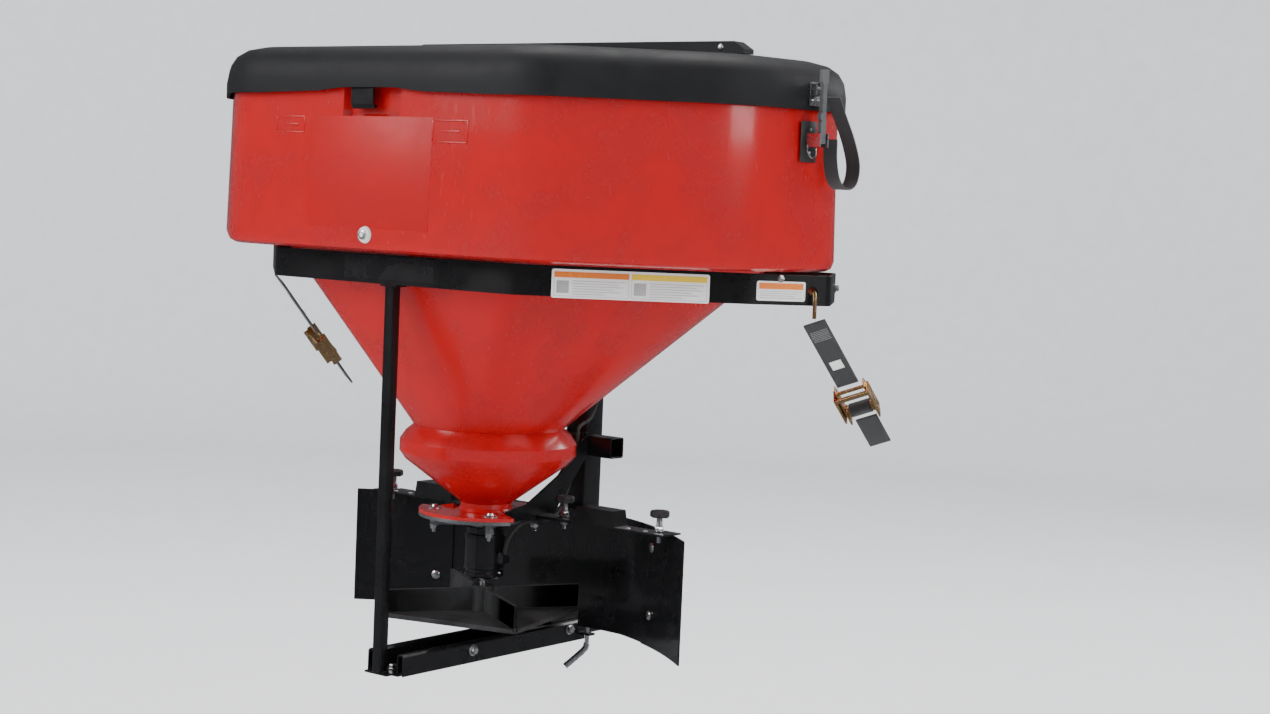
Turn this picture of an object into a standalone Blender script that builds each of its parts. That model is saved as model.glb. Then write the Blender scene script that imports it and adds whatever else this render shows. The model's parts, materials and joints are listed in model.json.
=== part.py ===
"""Tailgate salt spreader: hopper, lid, hitch frame, spinner drive and deflector.

Metres, +Z up, +X to the right as seen from behind the vehicle, +Y forward.
The origin is the centre of the drawbar's closed front end. Everything is laid out
from a datum at the foot of the rear post, which an empty places in that frame.
"""
import math

import bmesh
import bpy
from mathutils import Matrix, Vector

# ---- driving dimensions (datum: foot of the rear post, X = 0 is the plane of symmetry) ----
DRAWBAR_END_Y = 0.80
DRAWBAR_SIZE = 0.0508
DRAWBAR_Z = 0.030
AXIS_Y = 0.258              # drive axis: hopper outlet, motor and spinner
GAP = 0.0003                # between pieces that touch

HOPPER_WALL = 0.006
POCKET_HALF = 0.058         # half-width of the finger recess at the rear
BOX_BOTTOM_Z = 0.724
BOX_TOP_Z = 1.000
LID_EDGE_Z = 0.985
LID_TOP_Z = 1.070
NECK_Z, NECK_R = 0.415, 0.134
COLLAR_Z, COLLAR_R = 0.374, 0.158
OUTLET_Z, OUTLET_R = 0.278, 0.046
FLANGE_Z, FLANGE_R = 0.2585, 0.120

BAND_BOTTOM_Z, BAND_HEIGHT, BAND_WALL = 0.669, 0.050, 0.005
POST_SIZE = 0.019
ARM_HALF, ARM_WALL, ARM_Z, ARM_Y0, ARM_Y1 = 0.042, 0.003, 0.040, 0.014, 0.505
LOCK_X, LOCK_Y = 0.0545, 0.496
TUBE = 0.0508
MAST_Y = 0.5305
CROSS_SIZE, CROSS_HALF, CROSS_Z = 0.038, 0.115, 0.371
BRACE_X, BRACE_T = 0.0585, 0.005
FLANGE_TONGUE = 0.0525      # half-width of the flange between the braces
CHUTE_BOLTS = ((-0.066, 0.195), (0.066, 0.195), (-0.036, 0.353), (0.036, 0.353))
CHUTE_TOP, CHUTE_T = 0.2582, 0.006
SPIDER_TOP, SPIDER_T = 0.2390, 0.004

MOTOR_R, MOTOR_Z0, MOTOR_Z1 = 0.036, 0.144, 0.2350
SHAFT_R = 0.006
SPINNER_R, SPINNER_Z, SPINNER_ANGLE = 0.190, 0.0745, math.radians(60)
SHIELD_T, SHIELD_Z0, SHIELD_Z1 = 0.003, 0.034, 0.2500
HANGER_Z, HANGER_Y, HANGER_T = 0.2535, 0.352, 0.003
KNOB_GAP = 0.0009           # under a knob's collar, which turns on the hanger
STUD_R, STUD_REACH = 0.0030, 0.0200   # the inner knobs' fixed studs, and how far they stand above the hanger

# plan outlines, right-hand corners from the rear round to the front
BOX_PLAN = [(0.335, -0.070), (0.605, 0.163), (0.635, 0.385), (0.548, 0.500)]
FUNNEL_PLAN = [(0.255, 0.002), (0.490, 0.340), (0.470, 0.440), (0.370, 0.480)]
BAND_PLAN = [(0.277, -0.012), (0.559, 0.244), (0.642, 0.361), (0.560, 0.5035)]
BOX_ROUND = [0.060, 0.070, 0.060, 0.060]

COLLECTION = "salt_spreader"
RED = ("hopper_red_poly", (0.55, 0.012, 0.012), 0.28, 0.0)
BLACK_POLY = ("black_poly", (0.022, 0.022, 0.023), 0.5, 0.0)
BLACK_STEEL = ("black_coated_steel", (0.012, 0.012, 0.013), 0.25, 0.0)
ZINC = ("zinc_plate", (0.62, 0.63, 0.64), 0.3, 1.0)
GOLD_ZINC = ("yellow_zinc", (0.72, 0.52, 0.20), 0.3, 1.0)
RUBBER = ("grey_rubber", (0.10, 0.10, 0.10), 0.7, 0.0)
WEBBING = ("black_webbing", (0.015, 0.015, 0.016), 0.85, 0.0)
WHITE_POLY = ("white_poly", (0.80, 0.80, 0.78), 0.4, 0.0)
CABLE = ("cable_loom", (0.02, 0.02, 0.02), 0.6, 0.0)


# ---- scene, collections and materials ----
def clear_scene():
    for obj in list(bpy.data.objects):
        bpy.data.objects.remove(obj, do_unlink=True)


def collection(name):
    found = bpy.data.collections.get(name)
    if found is None:
        found = bpy.data.collections.new(name)
        bpy.context.scene.collection.children.link(found)
    return found


def material(spec):
    name, colour, roughness, metallic = spec
    found = bpy.data.materials.get(name)
    if found is None:
        found = bpy.data.materials.new(name)
        found.use_nodes = True
        shader = found.node_tree.nodes["Principled BSDF"]
        shader.inputs["Base Color"].default_value = (*colour, 1.0)
        shader.inputs["Roughness"].default_value = roughness
        shader.inputs["Metallic"].default_value = metallic
    return found


def add_object(name, mesh, spec, parent):
    obj = bpy.data.objects.new(name, mesh)
    collection(COLLECTION).objects.link(obj)
    obj.data.materials.append(material(spec))
    obj.parent = parent
    return obj


def add_empty(name, location, parent=None):
    obj = bpy.data.objects.new(name, None)
    collection(COLLECTION).objects.link(obj)
    obj.location = location
    obj.parent = parent
    return obj


def shade(obj, angle=35):
    obj.data.shade_smooth()
    obj.data.set_sharp_from_angle(angle=math.radians(angle))


def mesh_from(name, bm):
    mesh = bpy.data.meshes.new(name)
    bm.to_mesh(mesh)
    bm.free()
    return mesh


# ---- shapes ----
def box(name, low, high, spec, parent, bevel=0.0):
    bm = bmesh.new()
    size = [b - a for a, b in zip(low, high)]
    middle = [(a + b) / 2 for a, b in zip(low, high)]
    bmesh.ops.create_cube(bm, size=1.0, matrix=Matrix.Translation(middle) @ Matrix.Diagonal((*size, 1.0)))
    obj = add_object(name, mesh_from(name, bm), spec, parent)
    if bevel:
        edge = obj.modifiers.new("edge", "BEVEL")
        edge.width = bevel
        edge.segments = 1
    return obj


def loft(name, rings, spec, parent, caps=(True, True), wall=0.0, offset=-1.0, closed=True):
    """A skin through rings of equal point count, capped, or open with a wall thickness."""
    bm = bmesh.new()
    rows = [[bm.verts.new(p) for p in ring] for ring in rings]
    count = len(rings[0])
    for low, high in zip(rows, rows[1:]):
        for i in range(count if closed else count - 1):
            j = (i + 1) % count
            bm.faces.new((low[i], low[j], high[j], high[i]))
    if caps[0]:
        bm.faces.new(list(reversed(rows[0])))
    if caps[1]:
        bm.faces.new(rows[-1])
    obj = add_object(name, mesh_from(name, bm), spec, parent)
    if wall:
        skin = obj.modifiers.new("wall", "SOLIDIFY")
        skin.thickness = wall
        skin.offset = offset
        skin.use_even_offset = True
    return obj


def circle(radius, z, count, centre=(0.0, 0.0), phase=0.0):
    steps = [phase + 2 * math.pi * i / count for i in range(count)]
    return [(centre[0] + radius * math.cos(t), centre[1] + radius * math.sin(t), z) for t in steps]


def hexagon(across_flats, z, centre=(0.0, 0.0)):
    """Twelve points: six corners and the six middles of the flats."""
    flat = across_flats / 2
    points = []
    for i in range(12):
        radius = flat / math.cos(math.radians(30)) if i % 2 == 0 else flat
        t = math.radians(30 * i)
        points.append((centre[0] + radius * math.cos(t), centre[1] + radius * math.sin(t), z))
    return points


def turned(name, profile, spec, parent, steps=24):
    """A profile of (radius, z), top to bottom, turned round the local Z axis."""
    bm = bmesh.new()
    verts = [bm.verts.new((r, 0.0, z)) for r, z in profile]
    for a, b in zip(verts, verts[1:]):
        bm.edges.new((a, b))
    obj = add_object(name, mesh_from(name, bm), spec, parent)
    screw = obj.modifiers.new("turn", "SCREW")
    screw.steps = steps
    screw.render_steps = steps
    screw.use_merge_vertices = True
    screw.merge_threshold = 0.00005
    return obj


def rounded_square(size, radius, place, first, second):
    """Twelve points round a square section at a place, across two directions."""
    half = size / 2
    points = []
    for cx, cy, start in ((1, 1, 0), (-1, 1, 90), (-1, -1, 180), (1, -1, 270)):
        for step in (0, 45, 90):
            t = math.radians(start + step)
            a = cx * (half - radius) + radius * math.cos(t)
            b = cy * (half - radius) + radius * math.sin(t)
            points.append(place + first * a + second * b)
    return points


def square_tube(name, size, wall, start, end, spec, parent):
    """A square tube between two points that differ along one axis only."""
    start, end = Vector(start), Vector(end)
    run = (end - start).normalized()
    side = Vector((0, 0, 1)) if abs(run.z) < 0.5 else Vector((1, 0, 0))
    other = side.cross(run) if abs(run.z) < 0.5 else run.cross(side)
    first, second = (other, side) if abs(run.z) < 0.5 else (side, other)
    rings = [rounded_square(size, size * 0.10, place, first, second) for place in (start, end)]
    obj = loft(name, rings, spec, parent, caps=(False, False), wall=wall)
    bm = bmesh.new()
    bm.from_mesh(obj.data)
    axis_middle = (start + end) / 2
    face = bm.faces[:][0]
    if face.normal.dot(face.calc_center_median() - axis_middle) < 0:
        bmesh.ops.reverse_faces(bm, faces=bm.faces[:])
    bm.to_mesh(obj.data)
    bm.free()
    return obj


def strip(name, path, start, end, spec, parent, wall, offset=0.0):
    """A bent sheet: a path of points drawn along a straight run from start to end."""
    shift = Vector(end) - Vector(start)
    first = [Vector(p) + Vector(start) for p in path]
    second = [p + shift for p in first]
    return loft(name, [first, second], spec, parent, caps=(False, False), wall=wall, offset=offset,
                closed=False)


def outline_plate(name, outline, thickness, matrix, spec, parent):
    """A flat outline with a thickness, as a filled 2-D curve made into a mesh."""
    curve = bpy.data.curves.new(name + "_outline", "CURVE")
    curve.dimensions = "2D"
    curve.fill_mode = "BOTH"
    curve.extrude = thickness / 2
    spline = curve.splines.new("POLY")
    spline.points.add(len(outline) - 1)
    for point, (x, y) in zip(spline.points, outline):
        point.co = (x, y, 0.0, 1.0)
    spline.use_cyclic_u = True
    return curve_to_mesh(name, curve, matrix, spec, parent)


def wire(name, points, radius, spec, parent, resolution=2, closed=False):
    """A round wire or cord through the given points."""
    curve = bpy.data.curves.new(name + "_wire", "CURVE")
    curve.dimensions = "3D"
    curve.bevel_depth = radius
    curve.bevel_resolution = resolution
    curve.use_fill_caps = True
    spline = curve.splines.new("POLY")
    spline.points.add(len(points) - 1)
    for point, place in zip(spline.points, points):
        point.co = (*place, 1.0)
    spline.use_cyclic_u = closed
    return curve_to_mesh(name, curve, Matrix.Identity(4), spec, parent)


def curve_to_mesh(name, curve, matrix, spec, parent):
    source = bpy.data.objects.new(name + "_source", curve)
    bpy.context.scene.collection.objects.link(source)
    depsgraph = bpy.context.evaluated_depsgraph_get()
    mesh = bpy.data.meshes.new_from_object(source.evaluated_get(depsgraph))
    bpy.data.objects.remove(source, do_unlink=True)
    bm = bmesh.new()
    bm.from_mesh(mesh)
    bmesh.ops.remove_doubles(bm, verts=bm.verts, dist=0.00005)
    bmesh.ops.recalc_face_normals(bm, faces=bm.faces)
    bm.transform(matrix)
    bm.to_mesh(mesh)
    bm.free()
    mesh.materials.clear()
    return add_object(name, mesh, spec, parent)


def join_in(obj, tool, operation="UNION"):
    """Adds a tool's shape to an object, or cuts it away."""
    collection(COLLECTION).objects.unlink(tool)
    collection("cutters").objects.link(tool)
    tool.hide_render = True
    tool.display_type = "WIRE"
    mod = obj.modifiers.new("with_" + tool.name, "BOOLEAN")
    mod.operation = operation
    mod.solver = "EXACT"
    mod.object = tool


def smooth_route(points, steps):
    """Points along a smooth Catmull-Rom curve through a hand-set route."""
    route = [Vector(p) for p in points]
    route = [route[0] * 2 - route[1]] + route + [route[-1] * 2 - route[-2]]
    out = []
    for a, b, c, d in zip(route, route[1:], route[2:], route[3:]):
        for i in range(steps):
            t = i / steps
            out.append(0.5 * ((2 * b) + (c - a) * t + (2 * a - 5 * b + 4 * c - d) * t * t
                              + (3 * b - a - 3 * c + d) * t ** 3))
    out.append(route[-2])
    return out


# ---- plan outlines ----
REAR_STOPS = (-0.120, -0.066, -POCKET_HALF, 0.0, POCKET_HALF, 0.066, 0.120)   # points along the rear face


def fillet(before, corner, after, radius, count=5):
    """Points of a round corner, by a quadratic curve that touches both sides."""
    corner, before, after = Vector(corner), Vector(before), Vector(after)
    reach_in = min(radius, (corner - before).length * 0.48)
    reach_out = min(radius, (after - corner).length * 0.48)
    start = corner + (before - corner).normalized() * reach_in
    stop = corner + (after - corner).normalized() * reach_out
    points = []
    for i in range(count):
        t = i / (count - 1)
        points.append(start * (1 - t) ** 2 + corner * 2 * t * (1 - t) + stop * t * t)
    return points


def plan_ring(right_corners, rounds, grow=0.0):
    """Points round a symmetrical plan outline, anticlockwise from the rear centre."""
    corners = list(right_corners) + [(-x, y) for x, y in reversed(right_corners)]
    rounds = list(rounds) + list(reversed(rounds))
    total = len(corners)
    ring = [(x, corners[0][1]) for x in REAR_STOPS if x >= 0.0]
    for i in range(total):
        ring += [tuple(p) for p in fillet(corners[i - 1], corners[i], corners[(i + 1) % total], rounds[i])]
        if i < total - 1:
            a, b = Vector(corners[i]), Vector(corners[i + 1])
            ring.append(tuple(a.lerp(b, 0.5)))
    ring += [(x, corners[0][1]) for x in REAR_STOPS if x < 0.0]
    if grow:
        ring = grown(ring, grow)
    return ring


def grown(ring, amount):
    """Moves each point of an anticlockwise ring outwards by the same amount."""
    out = []
    for i, point in enumerate(ring):
        before, after = Vector(ring[i - 1]), Vector(ring[(i + 1) % len(ring)])
        run = (after - before).normalized()
        out.append((point[0] + run.y * amount, point[1] - run.x * amount))
    return out


def at_height(ring, z):
    return [(x, y, z) for x, y in ring]


def round_ring(ring, radius, z):
    """A circle round the drive axis, each point in the direction of the outline's own point."""
    points = []
    total = len(ring)
    for i, (x, y) in enumerate(ring):
        own = math.atan2(y - AXIS_Y, x)
        even = -math.pi / 2 + 2 * math.pi * i / total
        turn = (own - even + math.pi) % (2 * math.pi) - math.pi
        t = even + 0.35 * turn
        points.append((radius * math.cos(t), AXIS_Y + radius * math.sin(t), z))
    return points


# ---- hopper and lid ----
def build_hopper(root):
    top = plan_ring(BOX_PLAN, BOX_ROUND, grow=-0.006)
    bottom = plan_ring(BOX_PLAN, BOX_ROUND)
    funnel = plan_ring(FUNNEL_PLAN, (0.030, 0.060, 0.050, 0.050))
    pocket_depth, pocket_z = 0.013, 0.952

    def pocket(ring, z):
        """The finger recess in the middle of the rear face."""
        return [(x, y + pocket_depth if abs(x) < POCKET_HALF + 0.001 and y < 0.0 else y, z) for x, y in ring]

    middle = [(a[0] + (b[0] - a[0]) * 0.2, a[1] + (b[1] - a[1]) * 0.2) for a, b in zip(top, bottom)]
    rings = [pocket(top, BOX_TOP_Z), pocket(middle, pocket_z), at_height(middle, pocket_z - 0.006)]
    rings += [at_height(bottom, BOX_BOTTOM_Z + 0.016)]
    rings += [at_height(grown(bottom, -0.004), BOX_BOTTOM_Z + 0.005), at_height(grown(bottom, -0.014),
                                                                                BOX_BOTTOM_Z)]
    rings += [at_height(grown(funnel, 0.008), BOX_BOTTOM_Z), at_height(funnel, BOX_BOTTOM_Z - 0.008)]
    shoulder = round_ring(funnel, NECK_R, NECK_Z)
    rings += [[tuple(Vector(a).lerp(Vector(b), t)) for a, b in zip(rings[-1], shoulder)]
              for t in (0.35, 0.7)]
    rings += [shoulder]
    for radius, z in ((COLLAR_R - 0.010, NECK_Z - 0.012), (COLLAR_R, COLLAR_Z + 0.014),
                      (COLLAR_R, COLLAR_Z - 0.006), (COLLAR_R - 0.010, COLLAR_Z - 0.020),
                      (OUTLET_R, OUTLET_Z), (OUTLET_R + 0.001, FLANGE_Z + 0.011)):
        rings.append(round_ring(funnel, radius, z))
    rings.append(round_ring(funnel, OUTLET_R + 0.005, FLANGE_Z + 0.006))
    rings.append(flange_ring(funnel, FLANGE_R, FLANGE_Z + 0.006))
    rings = [list(reversed(ring)) for ring in rings]
    hopper = loft("hopper_shell", rings, RED, root, caps=(False, False), wall=HOPPER_WALL)
    shade(hopper, 30)


def flange_ring(funnel, radius, z):
    """The flange: a disc at the rear, a narrow tongue between the braces at the front."""
    points = []
    for x, y, _ in round_ring(funnel, radius, z):
        dx, dy = x, y - AXIS_Y
        if dy > -0.047:
            dx = max(-FLANGE_TONGUE, min(FLANGE_TONGUE, dx))
        points.append((dx, AXIS_Y + dy, z))
    return points


def build_plug(root):
    hub = add_empty("plug_axis", (0.0, BOX_PLAN[0][1] - GAP, 0.752), root)
    hub.rotation_euler = (math.radians(90), 0, 0)
    profile = [(0.0, 0.0095), (0.0055, 0.009), (0.0065, 0.0055), (0.0125, 0.0045), (0.0145, 0.0)]
    plug = turned("drain_plug", profile + [(0.0, 0.0)], WHITE_POLY, hub)
    shade(plug)


def lid_edge(x, y):
    """Height of the lid's lower edge: it rises over the finger recess at the rear."""
    if y > 0.0:
        return LID_EDGE_Z
    return LID_EDGE_Z + 0.010 * max(0.0, 1.0 - max(0.0, abs(x) - POCKET_HALF) / 0.10)


def build_lid(lid):
    edge = plan_ring(BOX_PLAN, BOX_ROUND, grow=0.007)
    rings = [[(x, y, lid_edge(x, y)) for x, y in edge]]
    for inset, z in ((0.000, 1.012), (0.004, 1.034), (0.014, 1.050), (0.032, 1.0615), (0.060, 1.068)):
        rings.append(at_height(grown(edge, -inset), z))
    centre = Vector((0.0, 0.23, LID_TOP_Z + 0.012))
    rim = rings[-1]
    for t, rise in ((0.35, 0.006), (0.7, 0.010)):
        rings.append([tuple(Vector(p).lerp(Vector((centre.x, centre.y, p[2])), t) + Vector((0, 0, rise)))
                      for p in rim])
    place = lid.matrix_basis.inverted()
    rings = [[tuple(place @ Vector(p)) for p in ring] for ring in rings]
    shell = loft("lid", rings, BLACK_POLY, lid, caps=(False, True), wall=0.005)
    shade(shell, 40)


def build_lid_bar(lid):
    """The raised bar along the lid's front, standing on two feet."""
    origin = lid.location
    half, y0, y1, z0, z1 = 0.390, 0.440, 0.470, 1.0885, 1.110
    profile = [(-half, z0), (half, z0), (half, z0 + 0.008), (half - 0.022, z1), (-half + 0.022, z1),
               (-half, z0 + 0.008)]
    bar = outline_plate("lid_bar", profile, y1 - y0, Matrix.Translation((-origin.x, (y0 + y1) / 2 - origin.y,
                                                                         -origin.z))
                        @ Matrix.Rotation(math.radians(90), 4, "X"), BLACK_POLY, lid)
    for side, x in (("left", -half + 0.05), ("right", half - 0.05)):
        foot = box("bar_foot_" + side, (x - 0.022 - origin.x, y0 + 0.003 - origin.y, 1.0700 - origin.z),
                   (x + 0.022 - origin.x, y1 - 0.003 - origin.y, z0 + 0.004 - origin.z), BLACK_POLY, lid)
        join_in(bar, foot)


def build_lid_hinges(root, lid):
    """Two brackets on the hopper's front wall, each with a pin through a lug on the lid."""
    hinge_y, hinge_z = lid.location.y, lid.location.z
    skirt_y = BOX_PLAN[3][1] + 0.0078
    for side, sign in (("left", -1), ("right", 1)):
        x = sign * 0.30
        plate = box("lid_hinge_bracket_" + side, (x - 0.030, BOX_PLAN[3][1] - 0.0030, hinge_z - 0.045),
                    (x + 0.030, BOX_PLAN[3][1], hinge_z + 0.004), BLACK_STEEL, root)
        for lug in (-0.0225, 0.0225):
            ear = box("hinge_ear_%s_%d" % (side, lug > 0), (x + lug - 0.002, BOX_PLAN[3][1] - 0.002,
                                                            hinge_z - 0.012),
                      (x + lug + 0.002, hinge_y + 0.008, hinge_z + 0.008), BLACK_STEEL, root)
            join_in(plate, ear)
        hole = pin_cylinder("hinge_hole_" + side, (x, hinge_y, hinge_z), 0.0034, 0.08, BLACK_STEEL, root)
        join_in(plate, hole, "DIFFERENCE")
        pin = pin_cylinder("lid_hinge_pin_" + side, (x, hinge_y, hinge_z), 0.0030, 0.054, ZINC, root)
        lug = pin_cylinder("lid_hinge_lug_" + side, (x, 0.0, 0.0), 0.0075, 0.040, BLACK_STEEL, lid)
        web = box("lug_web_" + side, (x - 0.0185, skirt_y - hinge_y, -0.0035), (x + 0.0185, -0.002, 0.0035),
                  BLACK_STEEL, lid)
        leaf = box("lug_leaf_" + side, (x - 0.0185, skirt_y - hinge_y, -0.0035),
                   (x + 0.0185, skirt_y - hinge_y + 0.003, 0.036),
                   BLACK_STEEL, lid)
        bore = pin_cylinder("lug_bore_" + side, (x, 0.0, 0.0), 0.0034, 0.06, BLACK_STEEL, lid)
        join_in(lug, web)
        join_in(lug, leaf)
        join_in(lug, bore, "DIFFERENCE")


def pin_cylinder(name, centre, radius, length, spec, parent, axis="X"):
    bm = bmesh.new()
    turn = {"X": Matrix.Rotation(math.radians(90), 4, "Y"), "Y": Matrix.Rotation(math.radians(90), 4, "X"),
            "Z": Matrix.Identity(4)}[axis]
    bmesh.ops.create_cone(bm, cap_ends=True, segments=16, radius1=radius, radius2=radius, depth=length,
                          matrix=Matrix.Translation(centre) @ turn)
    obj = add_object(name, mesh_from(name, bm), spec, parent)
    shade(obj)
    return obj


def build_lid_hook(lid):
    """The finger latch that hangs inside the lid's skirt, in the hopper's recess."""
    ox, oy, oz = lid.location
    rear = BOX_PLAN[0][1]
    path = [(0, rear - oy, 1.010 - oz), (0, rear - oy, 0.968 - oz), (0, rear + 0.004 - oy, 0.962 - oz),
            (0, rear + 0.010 - oy, 0.966 - oz)]
    hook = strip("lid_rear_latch", path, (-0.0425, 0, 0), (0.0085, 0, 0), BLACK_STEEL, lid, 0.003,
                 offset=0.0)
    return hook


def build_side_latch(side, sign, root, lid):
    """A rubber draw latch: keeper and pin on the hopper, a strap, and a bracket with a roller on the lid."""
    tilt = math.atan2(BOX_PLAN[2][0] - BOX_PLAN[1][0], BOX_PLAN[2][1] - BOX_PLAN[1][1])
    y = 0.300
    x = BOX_PLAN[1][0] + (y - BOX_PLAN[1][1]) * math.tan(tilt)
    turn = -tilt if sign > 0 else math.pi + tilt
    face = add_empty("latch_face_" + side, (sign * x, y, 0.0), root)
    face.rotation_euler = (0, 0, turn)
    on_lid = add_empty("latch_lid_face_" + side, (sign * x - lid.location.x, y - lid.location.y,
                                                  -lid.location.z), lid)
    on_lid.rotation_euler = (0, 0, turn)

    keeper = box("latch_keeper_" + side, (-0.0036, -0.014, 0.912), (-0.0006, 0.014, 0.958), ZINC, face)
    for end in (-0.0095, 0.0095):
        ear = box("keeper_ear_%s_%d" % (side, end > 0), (-0.002, end - 0.0012, 0.926),
                  (0.034, end + 0.0012, 0.948), ZINC, face)
        join_in(keeper, ear)
    latch_z, latch_x = 0.938, 0.0275
    pin = pin_cylinder("keeper_pin_" + side, (latch_x, 0, latch_z), 0.0020, 0.0235, ZINC, face, "Y")
    join_in(keeper, pin)

    swing = add_empty("latch_swing_" + side, (latch_x, 0, latch_z), face)
    outline = [(-0.0065, -0.0065), (0.0065, -0.0065), (0.0065, 0.030), (0.0048, 0.034), (0.0048, 0.088),
               (0.0075, 0.092),
               (0.0075, 0.112), (-0.0075, 0.112), (-0.0075, 0.092), (-0.0048, 0.088), (-0.0048, 0.044),
               (-0.0085, 0.041),
               (-0.0085, 0.033), (-0.0048, 0.030), (-0.0065, 0.028)]
    upright = Matrix(((0, 0, 1, 0), (1, 0, 0, 0), (0, 1, 0, 0), (0, 0, 0, 1)))
    strap = outline_plate("latch_strap_" + side, outline, 0.0070, upright, RUBBER, swing)
    bore = pin_cylinder("strap_bore_" + side, (0, 0, 0), 0.0024, 0.05, RUBBER, swing, "Y")
    join_in(strap, bore, "DIFFERENCE")

    plate = box("latch_lid_bracket_" + side, (0.0074, -0.012, 0.992), (0.0100, 0.012, 1.030), ZINC, on_lid)
    for end in (-0.0105, 0.0105):
        ear = box("lid_ear_%s_%d" % (side, end > 0), (0.009, end - 0.0012, 1.008),
                  (0.0225, end + 0.0012, 1.027), ZINC, on_lid)
        join_in(plate, ear)
    roller = pin_cylinder("latch_roller_" + side, (0.0165, 0, 1.0175), 0.0048, 0.0200, ZINC, on_lid, "Y")
    join_in(plate, roller)
    return swing


def build_check_strap(root):
    """The webbing strap that stops the lid, a slack loop from the hopper's side up to the lid."""
    path = [(0.6520, 0.3215, 0.940), (0.6522, 0.3235, 0.905), (0.6525, 0.335, 0.875), (0.6530, 0.358, 0.861),
            (0.6535, 0.383, 0.870), (0.6540, 0.390, 0.900), (0.6535, 0.372, 0.940), (0.6525, 0.343, 0.980),
            (0.6520, 0.3240, 1.008)]
    route = smooth_route(path, 4)
    across = Vector((0.0120, 0.0015, 0.0))
    rings = [[p - across, p + across] for p in route]
    return loft("lid_check_strap", rings, WEBBING, root, caps=(False, False), wall=0.0022, offset=0.0,
                closed=False)


# ---- frame and hitch ----
def build_band(root):
    outline = plan_ring(BAND_PLAN, (0.012, 0.012, 0.012, 0.012))
    rings = [at_height(outline, z) for z in (BAND_BOTTOM_Z, BAND_BOTTOM_Z + BAND_HEIGHT)]
    band = loft("hopper_frame_band", rings, BLACK_STEEL, root, caps=(False, False), wall=BAND_WALL)
    shade(band)


def build_rear_post(root):
    """The square post with its welded head and foot plates."""
    top = BAND_BOTTOM_Z - GAP
    post = square_tube("rear_post", POST_SIZE, 0.002, (0, 0, 0.0050), (0, 0, top - 0.002), BLACK_STEEL, root)
    join_in(post, box("post_head", (-0.018, -0.012, top - 0.003), (0.018, 0.014, top), BLACK_STEEL, root))
    join_in(post, box("post_foot", (-0.0260, -0.0095, 0.0034), (0.0260, 0.075, 0.0068), BLACK_STEEL, root))
    vent = pin_cylinder("post_vent", (0, 0, 0.010), 0.003, 0.03, BLACK_STEEL, root, "Z")
    join_in(post, vent, "DIFFERENCE")


def build_arm(root):
    """The lower arm: a channel open at the top, its walls rolled over and down outside."""
    h, w, t = ARM_HALF - ARM_WALL / 2, ARM_WALL / 2, 0.0125
    top = ARM_Z - ARM_WALL / 2
    half = [(h, w), (h, top - 0.004), (h - 0.002, top - 0.001), (h - 0.005, top), (h - t + 0.005, top),
            (h - t + 0.002, top - 0.001),
            (h - t, top - 0.004), (h - t, w)]
    path = [(x, 0, z) for x, z in half] + [(-x, 0, z) for x, z in reversed(half)]
    arm = strip("lower_arm", path, (0, ARM_Y0, 0), (0, ARM_Y1, 0), BLACK_STEEL, root, ARM_WALL)
    tab = box("arm_tab", (ARM_HALF - 0.002, ARM_Y1 - 0.016, 0.012), (LOCK_X + 0.012, ARM_Y1, 0.016),
              BLACK_STEEL, root)
    hole = pin_cylinder("arm_tab_hole", (LOCK_X, LOCK_Y, 0.014), 0.0045, 0.02, BLACK_STEEL, root, "Z")
    join_in(arm, tab)
    join_in(arm, hole, "DIFFERENCE")


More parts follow.
